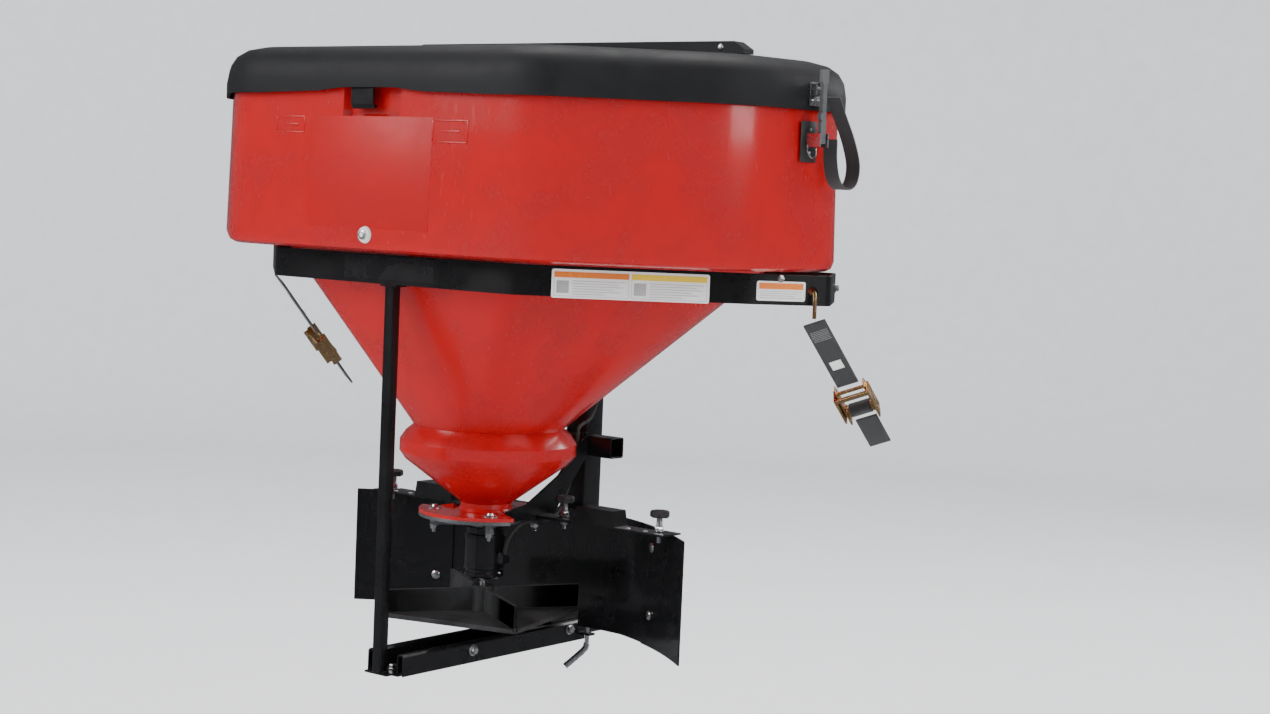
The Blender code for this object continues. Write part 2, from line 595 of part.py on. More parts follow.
def build_hitch(root):
    """Drawbar with a closed front end, mast, cross tube and the pin in the drawbar."""
    y0 = 0.420
    bar = box("drawbar", (-DRAWBAR_SIZE / 2, y0, DRAWBAR_Z - DRAWBAR_SIZE / 2),
              (DRAWBAR_SIZE / 2, DRAWBAR_END_Y, DRAWBAR_Z + DRAWBAR_SIZE / 2),
              BLACK_STEEL, root, 0.003)
    inner = DRAWBAR_SIZE / 2 - 0.0048
    hollow = box("drawbar_hollow", (-inner, y0 - 0.05, DRAWBAR_Z - inner), (inner, DRAWBAR_END_Y - 0.006,
                                                                            DRAWBAR_Z + inner), BLACK_STEEL,
                 root)
    join_in(bar, hollow, "DIFFERENCE")
    hole = pin_cylinder("hitch_pin_hole", (0, 0.715, DRAWBAR_Z), 0.0084, 0.08, BLACK_STEEL, root)
    join_in(bar, hole, "DIFFERENCE")
    pin = pin_cylinder("hitch_pin", (0.004, 0.715, DRAWBAR_Z), 0.0079, 0.092, ZINC, root)
    grip = wire("hitch_pin_grip", [(0.0497, 0.715, DRAWBAR_Z)] + [
        (0.050 + 0.022 * math.sin(math.radians(a)), 0.715, DRAWBAR_Z - 0.022
         + 0.022 * math.cos(math.radians(a)))
        for a in (15, 30, 45, 60, 75, 90)] + [(0.072, 0.715, DRAWBAR_Z - 0.055)], 0.0050, ZINC, root,
                resolution=3)
    groove = pin_cylinder("clip_hole", (-0.0335, 0.715, DRAWBAR_Z), 0.0020, 0.03, ZINC, root, "Z")
    join_in(pin, groove, "DIFFERENCE")
    join_in(pin, grip)
    clip = [(-0.0335, 0.715, DRAWBAR_Z + 0.021 - 0.0042 * i) for i in range(11)]
    bow = [(-0.0335, 0.715 + 0.0105 - 0.0105 * math.cos(math.radians(a)), DRAWBAR_Z + 0.021
            + 0.0105 * math.sin(math.radians(a)))
           for a in (150, 120, 90, 60, 30)]
    back = [(-0.0335, 0.7355, DRAWBAR_Z + 0.018), (-0.0335, 0.7300, DRAWBAR_Z + 0.006),
            (-0.0335, 0.7262, DRAWBAR_Z),
            (-0.0335, 0.7290, DRAWBAR_Z - 0.008), (-0.0335, 0.7340, DRAWBAR_Z - 0.016)]
    wire("hitch_clip", list(reversed(back)) + bow + clip, 0.0014, ZINC, root)

    mast_top = BAND_BOTTOM_Z + BAND_HEIGHT - 0.004
    square_tube("mast", TUBE, 0.004, (0, MAST_Y, DRAWBAR_Z + DRAWBAR_SIZE / 2 + GAP), (0, MAST_Y, mast_top),
                BLACK_STEEL, root)
    rear = MAST_Y - TUBE / 2 - GAP
    square_tube("cross_tube", CROSS_SIZE, 0.003, (-CROSS_HALF, rear - CROSS_SIZE / 2, CROSS_Z),
                (CROSS_HALF, rear - CROSS_SIZE / 2, CROSS_Z),
                BLACK_STEEL, root)


def build_arm_lock(root):
    """The screw through the arm's end and the handle that turns on it."""
    hub = add_empty("arm_lock_axis", (LOCK_X, LOCK_Y, 0.0), root)
    screw = turned("arm_lock_screw", [(0.0, 0.034), (0.0062, 0.033), (0.0062, 0.027), (0.0041, 0.0265),
                                      (0.0041, -0.008), (0.0, -0.0085)],
                   ZINC, hub, 12)
    handle = wire("arm_lock_grip", [(0.0, 0.0, -0.0035), (-0.001, -0.0015, -0.0125),
                                    (-0.006, -0.008, -0.0215), (-0.012, -0.016, -0.030),
                                    (-0.0185, -0.0245, -0.039),
                                   (-0.024, -0.032, -0.047)], 0.0058, ZINC, hub, resolution=3)
    join_in(screw, handle)
    shade(screw)
    return hub


def build_brace(side, sign, root):
    """A plate from the chute up to the cross tube, with an ear below that holds the inner knob's stud."""
    end = MAST_Y - TUBE / 2 - CROSS_SIZE - 2 * GAP
    low = HANGER_Z - HANGER_T / 2 - GAP - 0.0039
    edge = low + 0.0013
    outline = [(0.2460, edge), (0.3725, edge), (end, 0.3540), (end, 0.3905), (0.440, 0.3760),
               (0.388, 0.3220),
               (0.300, 0.2750), (0.2460, 0.2680)]
    upright = Matrix(((0, 0, 1, sign * BRACE_X), (1, 0, 0, 0), (0, 1, 0, 0), (0, 0, 0, 1)))
    brace = outline_plate("brace_" + side, outline, BRACE_T, upright, BLACK_STEEL, root)
    near, far = sorted((sign * 0.024, sign * 0.128))
    ear = box("brace_ear_" + side, (near, HANGER_Y - 0.018, low), (far, HANGER_Y + 0.020, low + 0.0039),
              BLACK_STEEL, root)
    join_in(brace, ear)
    hole = pin_cylinder("brace_hole_" + side, (sign * 0.036, HANGER_Y + 0.001, low), 0.0046, 0.03,
                        BLACK_STEEL, root, "Z")
    join_in(brace, hole, "DIFFERENCE")
    top = HANGER_Z + HANGER_T / 2 + GAP + STUD_REACH
    stud = pin_cylinder("brace_stud_" + side, (sign * 0.106, HANGER_Y, (low + 0.001 + top) / 2), STUD_R,
                        top - low - 0.001,
                        BLACK_STEEL, root, "Z")
    join_in(brace, stud)


# ---- chute, motor, spinner and agitator ----
def chute_outline():
    points = []
    for i in range(40):
        t = 2 * math.pi * i / 40
        dx, dy = FLANGE_R * math.cos(t), FLANGE_R * math.sin(t)
        if dy > -0.047:
            dx = max(-FLANGE_TONGUE, min(FLANGE_TONGUE, dx))
        point = (dx, AXIS_Y + dy)
        if not points or (Vector(point) - Vector(points[-1])).length > 0.004:
            points.append(point)
    return points


def drill(obj, places, radius, z, spec, parent, depth=0.05):
    for number, (x, y) in enumerate(places):
        hole = pin_cylinder("%s_drill_%d" % (obj.name, number), (x, y, z), radius, depth, spec, parent, "Z")
        join_in(obj, hole, "DIFFERENCE")


def build_chute(root):
    """The steel plate under the flange, and the spider that carries the motor below it."""
    lift = Matrix.Translation((0, 0, CHUTE_TOP - CHUTE_T / 2))
    plate = outline_plate("chute_plate", chute_outline(), CHUTE_T, lift, ZINC, root)
    drill(plate, [(0.0, AXIS_Y)], 0.046, CHUTE_TOP, ZINC, root)
    drill(plate, CHUTE_BOLTS, 0.0042, CHUTE_TOP, ZINC, root)
    hub = outline_plate("motor_spider", [(p[0], p[1]) for p in circle(0.030, 0, 24, (0.0, AXIS_Y))],
                        SPIDER_T,
                        Matrix.Translation((0, 0, SPIDER_TOP - SPIDER_T / 2)), ZINC, root)
    for number, (x, y) in enumerate(CHUTE_BOLTS):
        reach = math.hypot(x, y - AXIS_Y) + 0.0072
        arm = box("spider_arm_%d" % number, (0.015, -0.007, -SPIDER_T / 2), (reach, 0.007, SPIDER_T / 2),
                  ZINC, root)
        arm.location = (0.0, AXIS_Y, SPIDER_TOP - SPIDER_T / 2)
        arm.rotation_euler = (0, 0, math.atan2(y - AXIS_Y, x))
        join_in(hub, arm)
        under = CHUTE_TOP - CHUTE_T - GAP if y < AXIS_Y else HANGER_Z - HANGER_T / 2 - 2 * GAP - 0.0039
        leg = pin_cylinder("spider_leg_%d" % number, (x, y, (under + SPIDER_TOP - 0.001) / 2), 0.0072,
                           under - SPIDER_TOP + 0.001,
                           ZINC, root, "Z")
        join_in(hub, leg)
    drill(hub, CHUTE_BOLTS, 0.0042, SPIDER_TOP, ZINC, root)
    drill(hub, [(0.0, AXIS_Y)], 0.0085, SPIDER_TOP, ZINC, root)


def build_chute_bolts(root):
    """The two rear bolts through flange, plate and spider, each with washers and nut."""
    head = FLANGE_Z + 0.006 + GAP
    foot = SPIDER_TOP - SPIDER_T - GAP
    for number, (x, y) in enumerate(CHUTE_BOLTS[:2], 1):
        hub = add_empty("chute_bolt_axis_%d" % number, (x, y, 0.0), root)
        profile = [(0.0, head + 0.0065), (0.0045, head + 0.006), (0.0068, head + 0.0018),
                   (0.0095, head + 0.0016), (0.0095, head),
                   (0.0038, head), (0.0038, foot), (0.0085, foot), (0.0085, foot - 0.0016),
                   (0.0068, foot - 0.0018),
                   (0.0068, foot - 0.008), (0.0038, foot - 0.0082), (0.0036, foot - 0.014),
                   (0.0, foot - 0.0142)]
        shade(turned("chute_bolt_%d" % number, profile, ZINC, hub, 12))


def build_motor(root):
    hub = add_empty("motor_axis", (0.0, AXIS_Y, 0.0), root)
    r, top, low = MOTOR_R, MOTOR_Z1 - GAP, MOTOR_Z0
    profile = [(0.0, top), (r - 0.006, top), (r - 0.003, top - 0.001), (r - 0.003, top - 0.012),
               (r, top - 0.014), (r, low + 0.016),
               (r - 0.0015, low + 0.014), (r - 0.0015, low + 0.010), (r, low + 0.008), (r, low + 0.002),
               (r - 0.002, low),
               (0.013, low), (0.012, low - 0.006), (0.0, low - 0.006)]
    motor = turned("motor_housing", profile, BLACK_STEEL, hub, 28)
    shade(motor)
    join_in(motor, box("motor_gland", (r - 0.004, -0.008, 0.172), (0.0520, 0.010, 0.1877), BLACK_STEEL, hub))
    bore = pin_cylinder("motor_bore", (0, 0, 0.19), SHAFT_R + 0.0005, 0.14, BLACK_STEEL, hub, "Z")
    join_in(motor, bore, "DIFFERENCE")


def build_drive(spin):
    """Everything that turns with the motor: shaft, spinner, its pin, and the agitator."""
    pin_z, bar_z = 0.1120, 0.3620
    shaft = pin_cylinder("drive_shaft", (0, 0, (0.0690 + 0.3760) / 2), SHAFT_R, 0.3760 - 0.0690, ZINC, spin,
                         "Z")
    for z, radius in ((pin_z, 0.0028), (bar_z, 0.0043)):
        hole = pin_cylinder("shaft_hole_%d" % (z * 1000), (0, 0, z), radius, 0.03, ZINC, spin)
        join_in(shaft, hole, "DIFFERENCE")
    pin_cylinder("spinner_pin", (0, 0, pin_z), 0.0025, 0.050, ZINC, spin)

    side = SPINNER_R * math.sqrt(2) - 0.002
    corners = rounded_square(side, 0.010, Vector(), Vector((1, 0, 0)), Vector((0, 1, 0)))
    lifts = [[(x, y, z) for x, y, _ in corners] for z in (SPINNER_Z, SPINNER_Z + 0.008)]
    disc = loft("spinner_disc", lifts, BLACK_POLY, spin)
    disc.rotation_euler = (0, 0, SPINNER_ANGLE + math.radians(45))
    for number in range(4):
        vane = box("vane_%d" % number, (0.012, -0.0035, SPINNER_Z + 0.004),
                   (SPINNER_R - 0.007, 0.0035, 0.1235), BLACK_POLY, spin)
        vane.rotation_euler = (0, 0, SPINNER_ANGLE + number * math.pi / 2)
        join_in(disc, vane)
    core = pin_cylinder("spinner_hub", (0, 0, (SPINNER_Z + 0.002 + 0.1270) / 2), 0.0205, 0.1250 - SPINNER_Z,
                        BLACK_POLY, spin, "Z")
    join_in(disc, core)
    bore = pin_cylinder("spinner_bore", (0, 0, 0.10), SHAFT_R + 0.0003, 0.09, BLACK_POLY, spin, "Z")
    join_in(disc, bore, "DIFFERENCE")
    cross = pin_cylinder("spinner_cross_hole", (0, 0, pin_z), 0.0028, 0.07, BLACK_POLY, spin)
    join_in(disc, cross, "DIFFERENCE")

    sleeve = pin_cylinder("agitator", (0, 0, 0.305), 0.0105, 0.078, ZINC, spin, "Z")
    flight = []
    for i in range(27):
        t = i / 26
        angle, z = 2 * math.pi * 1.3 * t, 0.2700 + 0.068 * t
        direction = Vector((math.cos(angle), math.sin(angle), 0))
        flight.append([tuple(direction * r + Vector((0, 0, z + dz))) for r,
                       dz in ((0.008, 0.0), (0.034, 0.0), (0.034, 0.003), (0.008, 0.003))])
    blade = loft("agitator_flight", flight, ZINC, spin)
    join_in(sleeve, blade)
    bore = pin_cylinder("agitator_bore", (0, 0, 0.305), SHAFT_R + 0.0003, 0.12, ZINC, spin, "Z")
    join_in(sleeve, bore, "DIFFERENCE")
    finger = [(-0.080, 0.030, 0.400), (-0.070, 0.022, 0.385), (-0.050, 0.006, 0.368), (-0.030, 0.0, bar_z),
              (0.030, 0.0, bar_z),
              (0.050, -0.006, 0.368), (0.070, -0.022, 0.385), (0.080, -0.030, 0.400)]
    wire("agitator_bar", finger, 0.0040, ZINC, spin)


# ---- deflector ----
def shield_path(x0, x1, steps, shift):
    """Plan points along the shield: straight across the middle, swept back at the sides."""
    points = []
    for i in range(steps + 1):
        x = x0 + (x1 - x0) * i / steps
        past = max(0.0, abs(x) - 0.150)
        points.append((x, 0.466 - 0.30 * past - 1.05 * past * past + shift, 0.0))
    return points


def build_deflector(slide):
    origin = slide.location
    lift = Vector((-origin.x, -origin.y, -origin.z))
    low, high = Vector((0, 0, SHIELD_Z0)) + lift, Vector((0, 0, SHIELD_Z1)) + lift
    middle = strip("deflector_center", shield_path(-0.280, 0.280, 14, 0.0), low, high, BLACK_STEEL, slide,
                   SHIELD_T)
    notch = box("deflector_notch", (-0.056, 0.42 - origin.y, -0.01 - origin.z),
                (0.056, 0.50 - origin.y, 0.064 - origin.z), BLACK_STEEL, slide)
    join_in(middle, notch, "DIFFERENCE")
    hanger_low = HANGER_Z - HANGER_T / 2 - GAP
    for side, sign in (("left", -1), ("right", 1)):
        ends = (0.232, 0.392) if sign > 0 else (-0.392, -0.232)
        wing = strip("deflector_wing_" + side, shield_path(*ends, 8, -SHIELD_T - GAP - 0.0008), low, high,
                     BLACK_STEEL, slide, SHIELD_T)
        x0, x1 = sorted((sign * 0.302, sign * 0.338))
        tab = box("wing_tab_" + side, (x0, HANGER_Y - 0.016 - origin.y, hanger_low - 0.003 - origin.z),
                  (x1, 0.392 - origin.y, hanger_low - origin.z), BLACK_STEEL, slide)
        join_in(wing, tab)
        hole = pin_cylinder("wing_tab_hole_" + side, (sign * 0.320, HANGER_Y - origin.y,
                                                      hanger_low - origin.z), 0.0046, 0.03, BLACK_STEEL,
                            slide, "Z")
        join_in(wing, hole, "DIFFERENCE")
        build_hanger(side, sign, slide)


def build_hanger(side, sign, slide):
    """The strap over the shield: two flats at one height and a raised hat between them."""
    origin = slide.location
    z, up = HANGER_Z - origin.z, 0.0275
    half = [(0.0625, z), (0.148, z), (0.153, z + up), (0.234, z + up), (0.239, z), (0.348, z)]
    path = [(sign * x, 0, h) for x, h in half]
    if sign < 0:
        path.reverse()
    y0, y1 = HANGER_Y - 0.026 - origin.y, HANGER_Y + 0.012 - origin.y
    hanger = strip("deflector_hanger_" + side, path, (0, y0, 0), (0, y1, 0), BLACK_STEEL, slide, HANGER_T)
    x0, x1 = sorted((sign * 0.151, sign * 0.236))
    face = box("hanger_face_" + side, (x0, y0, z - 0.001), (x1, y0 + 0.003, z + up + 0.001), BLACK_STEEL,
               slide)
    join_in(hanger, face)
    slot = box("hanger_slot_" + side, (sign * 0.106 - 0.0046, HANGER_Y - 0.0190 - origin.y, z - 0.01),
               (sign * 0.106 + 0.0046, HANGER_Y + 0.0046 - origin.y, z + 0.01), BLACK_STEEL, slide)
    join_in(hanger, slot, "DIFFERENCE")
    hole = pin_cylinder("hanger_hole_" + side, (sign * 0.320, HANGER_Y - origin.y, z), 0.0046, 0.03,
                        BLACK_STEEL, slide, "Z")
    join_in(hanger, hole, "DIFFERENCE")


def build_knob(name, x, parent, origin, own_stud):
    """A scalloped clamp knob that bears on the hanger, with its own stud or a bore for a fixed one."""
    hub = add_empty(name + "_axis", (x - origin[0], HANGER_Y - origin[1], HANGER_Z + HANGER_T / 2 + KNOB_GAP
                                     - origin[2]), parent)

    def lobes(radius, z):
        return [((radius + 0.0012 * math.cos(7 * t)) * math.cos(t),
                 (radius + 0.0012 * math.cos(7 * t)) * math.sin(t), z)
                for t in [2 * math.pi * i / 28 for i in range(28)]]
    rings = [circle(0.0038, -0.0200, 28), circle(0.0038, 0.0, 28)] if own_stud else []
    rings += [circle(0.0090, 0.0, 28), circle(0.0090, 0.0020, 28), circle(0.0065, 0.0022, 28),
              circle(0.0065, 0.0100, 28),
             circle(0.0050, 0.0102, 28), circle(0.0050, 0.0240, 28),
             lobes(0.0150, 0.0250), lobes(0.0165, 0.0270), lobes(0.0165, 0.0340), lobes(0.0140, 0.0370),
              circle(0.0060, 0.0380, 28)]
    knob = loft(name, rings, BLACK_POLY, hub)
    if not own_stud:
        bore = pin_cylinder(name + "_bore", (0, 0, STUD_REACH / 2), STUD_R + 0.0003, STUD_REACH + 0.002,
                            BLACK_POLY, hub, "Z")
        join_in(knob, bore, "DIFFERENCE")
    shade(knob)
    return hub


# ---- cable and tie-downs ----
def build_cable(root):
    """The motor's loom: down from the chute, up inside the right brace, to a plug on the mast."""
    route = [(0.0460, 0.262, 0.1882), (0.0460, 0.262, 0.196), (0.0468, 0.270, 0.216), (0.0510, 0.290, 0.236),
             (0.0516, 0.322, 0.242), (0.0516, 0.372, 0.241), (0.0516, 0.402, 0.256), (0.0510, 0.428, 0.300),
             (0.0500, 0.446, 0.345), (0.0490, 0.4500, 0.385), (0.0450, 0.4580, 0.404),
             (0.0420, 0.480, 0.412),
             (0.0390, 0.500, 0.420), (0.0362, 0.518, 0.445), (0.0362, 0.520, 0.470), (0.0362, 0.520, 0.4800)]
    wire("motor_cable", smooth_route(route, 4), 0.0036, CABLE, root)
    box("motor_plug", (0.0268, 0.5100, 0.4803), (0.0470, 0.5320, 0.5280), BLACK_POLY, root, 0.003)


TIE_DIRECTION = Vector((0.03, 0.71, -0.70)).normalized()
TIE_ACROSS = Vector((0.886, 0.312, 0.357))


TIE_WIDTH = 0.038
SPOOL_AT = 0.208            # from the webbing's start to the ratchet's spool


def hook_place():
    """The hook hole in the band's side flat: place, outward direction and height."""
    a, b = Vector(BAND_PLAN[1]), Vector(BAND_PLAN[2])
    run = (b - a).normalized()
    return a.lerp(b, 0.78), Vector((run.y, -run.x)), BAND_BOTTOM_Z + 0.0235


def tie_frame(sign, start):
    """Axes of a tie-down: x across the webbing, y off its face, z down along it."""
    along = Vector((sign * TIE_DIRECTION.x, TIE_DIRECTION.y, TIE_DIRECTION.z))
    across = Vector((sign * TIE_ACROSS.x, TIE_ACROSS.y, TIE_ACROSS.z))
    across = (across - along * across.dot(along)).normalized()
    off = along.cross(across)
    matrix = Matrix((across, off, along)).transposed().to_4x4()
    return Matrix.Translation(start) @ matrix


def build_tiedown(side, sign, root):
    """A hook in the band, webbing down and forward from it, and a ratchet with its lever."""
    hole, out, hole_z = hook_place()
    hub = add_empty("tiedown_hook_axis_" + side, (sign * hole.x, hole.y, hole_z), root)
    hub.rotation_euler = (0, 0, math.atan2(out.y, sign * out.x))
    path = [(-0.017, 0, -0.014), (-0.0160, 0, -0.006), (-0.012, 0, -0.0005), (-0.0060, 0, 0.0012),
            (0.0, 0, 0.0012), (0.0060, 0, -0.0012),
            (0.0100, 0, -0.007), (0.0112, 0, -0.016), (0.0112, 0, -0.030), (0.0112, 0, -0.0440)]
    wire("tiedown_hook_" + side, path, 0.0036, GOLD_ZINC, hub)
    start = (sign * (hole.x + out.x * 0.0112), hole.y + out.y * 0.0112, hole_z - 0.0500)
    line = add_empty("tiedown_line_" + side, (0, 0, 0), root)
    line.matrix_local = tie_frame(sign, start)
    half = TIE_WIDTH / 2
    box("tiedown_webbing_" + side, (-half, -0.0020, 0.0), (half, 0.0020, 0.1500), WEBBING, line, 0.0006)

    near, far, first, last = half + 0.0050, half + 0.0075, 0.1540, 0.2320
    body = box("ratchet_frame_" + side, (-far, -0.0100, first), (-near, 0.0100, last), GOLD_ZINC, line)
    join_in(body, box("ratchet_cheek_" + side, (near, -0.0100, first), (far, 0.0100, last), GOLD_ZINC, line))
    join_in(body, pin_cylinder("ratchet_bar_" + side, (0, 0, 0.1640), 0.0032, 2 * near + 0.003, GOLD_ZINC,
                               line))
    join_in(body, pin_cylinder("ratchet_spool_" + side, (0, 0, SPOOL_AT), 0.0085, 2 * near + 0.003,
                               GOLD_ZINC, line))
    lever = add_empty("ratchet_lever_axis_" + side, (0, 0, SPOOL_AT), line)
    y0, y1 = sorted((-0.0070 * sign, 0.0200 * sign))
    near, far = half + 0.0090, half + 0.0120
    handle = box("ratchet_handle_" + side, (-far, y0, -0.0470), (-near, y1, 0.0080), GOLD_ZINC, lever)
    join_in(handle, box("handle_cheek_" + side, (near, y0, -0.0470), (far, y1, 0.0080), GOLD_ZINC, lever))
    grip = pin_cylinder("handle_grip_" + side, (0, 0.0160 * sign, -0.0420), 0.0045, 2 * near + 0.003,
                        GOLD_ZINC, lever)
    join_in(handle, grip)
    box("tiedown_tail_" + side, (-half, -0.0020, last), (half, 0.0020, 0.3000), WEBBING, line, 0.0006)
    return lever


def build_spreader():
    clear_scene()
    root = add_empty("post_datum", (0.0, -DRAWBAR_END_Y, -DRAWBAR_Z))
    build_hopper(root)
    build_plug(root)
    lid = add_empty("lid_hinge_axis", (0.0, BOX_PLAN[3][1] + 0.0200, 0.972), root)
    build_lid(lid)
    build_lid_bar(lid)
    build_lid_hinges(root, lid)
    build_lid_hook(lid)
    build_band(root)
    build_rear_post(root)
    build_arm(root)
    build_hitch(root)
    build_arm_lock(root)
    build_chute(root)
    build_chute_bolts(root)
    build_motor(root)
    spin = add_empty("drive_axis", (0.0, AXIS_Y, 0.0), root)
    build_drive(spin)
    slide = add_empty("deflector_slide", (0.0, HANGER_Y, HANGER_Z), root)
    build_deflector(slide)
    build_cable(root)
    build_check_strap(root)
    for side, sign in (("left", -1), ("right", 1)):
        build_brace(side, sign, root)
        build_side_latch(side, sign, root, lid)
        build_knob("inner_knob_" + side, sign * 0.106, root, (0, 0, 0), False)
        build_knob("outer_knob_" + side, sign * 0.320, slide, slide.location, True)
        build_tiedown(side, sign, root)
    drill_hopper(root)


def drill_hopper(root):
    """Bolt holes in the hopper's flange and hook holes in the band."""
    drill(bpy.data.objects["hopper_shell"], CHUTE_BOLTS[:2], 0.0042, FLANGE_Z, RED, root, depth=0.03)
    hole, out, hole_z = hook_place()
    for side, sign in (("left", -1), ("right", 1)):
        cutter = pin_cylinder("hook_hole_" + side, (0, 0, 0), 0.0075, 0.03, BLACK_STEEL, root)
        cutter.location = (sign * hole.x, hole.y, hole_z)
        cutter.rotation_euler = (0, 0, math.atan2(out.y, sign * out.x))
        join_in(bpy.data.objects["hopper_frame_band"], cutter, "DIFFERENCE")


if __name__ == "__main__":
    build_spreader()
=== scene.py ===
"""Tailgate salt spreader: finishes, small hardware, labels and stage, built round the packed frame."""

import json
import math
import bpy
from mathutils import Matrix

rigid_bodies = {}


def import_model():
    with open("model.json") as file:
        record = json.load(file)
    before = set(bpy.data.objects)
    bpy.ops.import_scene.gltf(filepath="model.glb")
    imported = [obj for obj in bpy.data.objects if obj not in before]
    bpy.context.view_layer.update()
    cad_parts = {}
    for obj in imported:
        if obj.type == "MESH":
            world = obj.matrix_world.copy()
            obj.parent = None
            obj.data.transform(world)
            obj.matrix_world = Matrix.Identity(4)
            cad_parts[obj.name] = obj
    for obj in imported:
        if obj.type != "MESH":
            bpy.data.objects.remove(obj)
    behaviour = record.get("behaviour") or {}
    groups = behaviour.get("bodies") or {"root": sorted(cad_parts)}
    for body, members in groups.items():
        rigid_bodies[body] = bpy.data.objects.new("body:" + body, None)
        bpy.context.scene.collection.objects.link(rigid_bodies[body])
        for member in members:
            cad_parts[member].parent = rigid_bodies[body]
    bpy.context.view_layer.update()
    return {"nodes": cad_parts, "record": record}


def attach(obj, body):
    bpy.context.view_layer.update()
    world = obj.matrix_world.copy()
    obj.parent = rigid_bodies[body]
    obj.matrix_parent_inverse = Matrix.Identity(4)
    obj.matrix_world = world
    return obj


bl_info = {
    "name": "Salt Spreader Finish",
    "version": (1, 0, 0),
    "blender": (4, 5, 0),
    "location": "3D View > Sidebar > Spreader",
    "description": "Finishes and small hardware for a hitch-mounted salt spreader",
    "category": "Object",
}

import bmesh
import bpy
from bpy.props import FloatProperty, FloatVectorProperty, PointerProperty
from mathutils import Matrix, Vector

for leftover in list(bpy.data.objects):
    bpy.data.objects.remove(leftover, do_unlink=True)

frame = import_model()
NODES = frame["nodes"]

# ---- layout: a datum at the foot of the rear post, X = 0 the plane of symmetry ----
DATUM = Vector((0.0, -0.80, -0.030))
DRIVE_Y = 0.258
BAND_CORNERS = [Vector(c) for c in ((0.277, -0.012), (0.559, 0.244), (0.642, 0.361), (0.560, 0.5035))]
BAND_LOW, BAND_HIGH = 0.669, 0.719
KNOB_BASE = 0.2559
KNOB_HEAD = KNOB_BASE + 0.0245
PLUG_HEIGHT = 0.752
REAR_LEAN = 0.0060 / 0.260
SHIELD_FLAT = 0.150
TIE_SPOOL = 0.208
TIE_BAR = 0.164


def at(x, y, z):
    """A place given from the datum, in the frame's own coordinates."""
    return DATUM + Vector((x, y, z))


def aim(place, outward, up=(0.0, 0.0, 1.0)):
    """A matrix at a place with local Z pointing outward and local Y as near up as it can be."""
    z = Vector(outward).normalized()
    x = Vector(up).cross(z)
    if x.length < 1e-6:
        x = Vector((1.0, 0.0, 0.0))
    x.normalize()
    y = z.cross(x)
    return Matrix.Translation(place) @ Matrix((x, y, z)).transposed().to_4x4()


def band_side(corner, sign=1):
    """Start, direction and outward normal of one flat of the frame band, 0 the slant and 2 the front."""
    a, b = BAND_CORNERS[corner], BAND_CORNERS[corner + 1]
    run = (b - a).normalized()
    out = Vector((run.y, -run.x, 0.0))
    return (Vector((sign * a.x, a.y, 0.0)), Vector((sign * run.x, run.y, 0.0)),
            Vector((sign * out.x, out.y, 0.0)), (b - a).length)


# ---- shapes ----
def add_rings(bm, rings, close_start=True, close_end=True):
    rows = [[bm.verts.new(p) for p in ring] for ring in rings]
    count = len(rows[0])
    for low, high in zip(rows, rows[1:]):
        for i in range(count):
            j = (i + 1) % count
            bm.faces.new((low[i], low[j], high[j], high[i]))
    if close_start:
        bm.faces.new(list(reversed(rows[0])))
    if close_end:
        bm.faces.new(rows[-1])
    return rows


def add_turned(bm, profile, matrix, steps=24):
    """Rings of (radius, height) round the matrix's Z axis, closed at both ends."""
    rings = []
    for radius, height in profile:
        radius = max(radius, 0.00015)
        rings.append([matrix @ Vector((radius * math.cos(2 * math.pi * i / steps),
                                       radius * math.sin(2 * math.pi * i / steps), height))
                      for i in range(steps)])
    add_rings(bm, rings)


def add_hex(bm, matrix, across, height, start=0.0, dome=0.10):
    """A hexagon head or nut with its corners turned down at the top."""
    flat = across / 2
    rings = []
    for scale, share in ((0.93, 0.0), (1.0, 0.08), (1.0, 0.82), (0.90, 1.0), (0.55, 1 + dome * 0.4)):
        z = start + height * share
        ring = []
        for i in range(12):
            corner = flat / math.cos(math.radians(30)) if i % 2 == 0 else flat
            radius = min(corner, flat * 1.12) * scale if scale < 1.0 else corner
            t = math.radians(30 * i)
            ring.append(matrix @ Vector((radius * math.cos(t), radius * math.sin(t), z)))
        rings.append(ring)
    add_rings(bm, rings)


def add_bolt(bm, matrix, across=0.013, washer=0.0115, tip=0.0):
    """A washer and hexagon head standing on the matrix's XY plane, and a thread beyond it if it's a nut."""
    disc = [(washer * 0.55, 0.0), (washer, 0.0002), (washer, 0.0015), (washer * 0.9, 0.0019),
            (washer * 0.5, 0.0019)]
    add_turned(bm, disc, matrix)
    add_hex(bm, matrix, across, across * 0.48, 0.0018)
    if tip:
        top = 0.0018 + across * 0.48
        turns = max(3, int(tip / 0.0012))
        profile = [(across * 0.29, top * 0.8)]
        for i in range(turns):
            z = top + tip * i / turns
            profile += [(across * 0.29, z), (across * 0.25, z + tip / turns * 0.5)]
        profile += [(across * 0.27, top + tip), (across * 0.20, top + tip + 0.0006)]
        add_turned(bm, profile, matrix, 16)


def add_dome(bm, matrix, radius=0.009, height=0.0034):
    """A carriage bolt's low round head."""
    profile = [(radius * 0.96, 0.0), (radius, 0.0004)]
    profile += [(radius * math.cos(math.radians(a)), 0.0004 + height * math.sin(math.radians(a)))
                for a in (20, 40, 60, 78, 88)]
    add_turned(bm, profile, matrix, 28)


def add_slab(bm, matrix, size, soft=0.0005, segments=2):
    """A block with rounded edges, centred on the matrix."""
    part = bmesh.new()
    bmesh.ops.create_cube(part, size=1.0, matrix=Matrix.Diagonal((*size, 1.0)))
    bmesh.ops.bevel(part, geom=part.edges[:], offset=min(soft, min(size) * 0.45), segments=segments,
                    profile=0.5, affect="EDGES")
    part.transform(matrix)
    merge(bm, part)


def merge(bm, part):
    mesh = bpy.data.meshes.new("part")
    part.to_mesh(mesh)
    part.free()
    bm.from_mesh(mesh)
    bpy.data.meshes.remove(mesh)


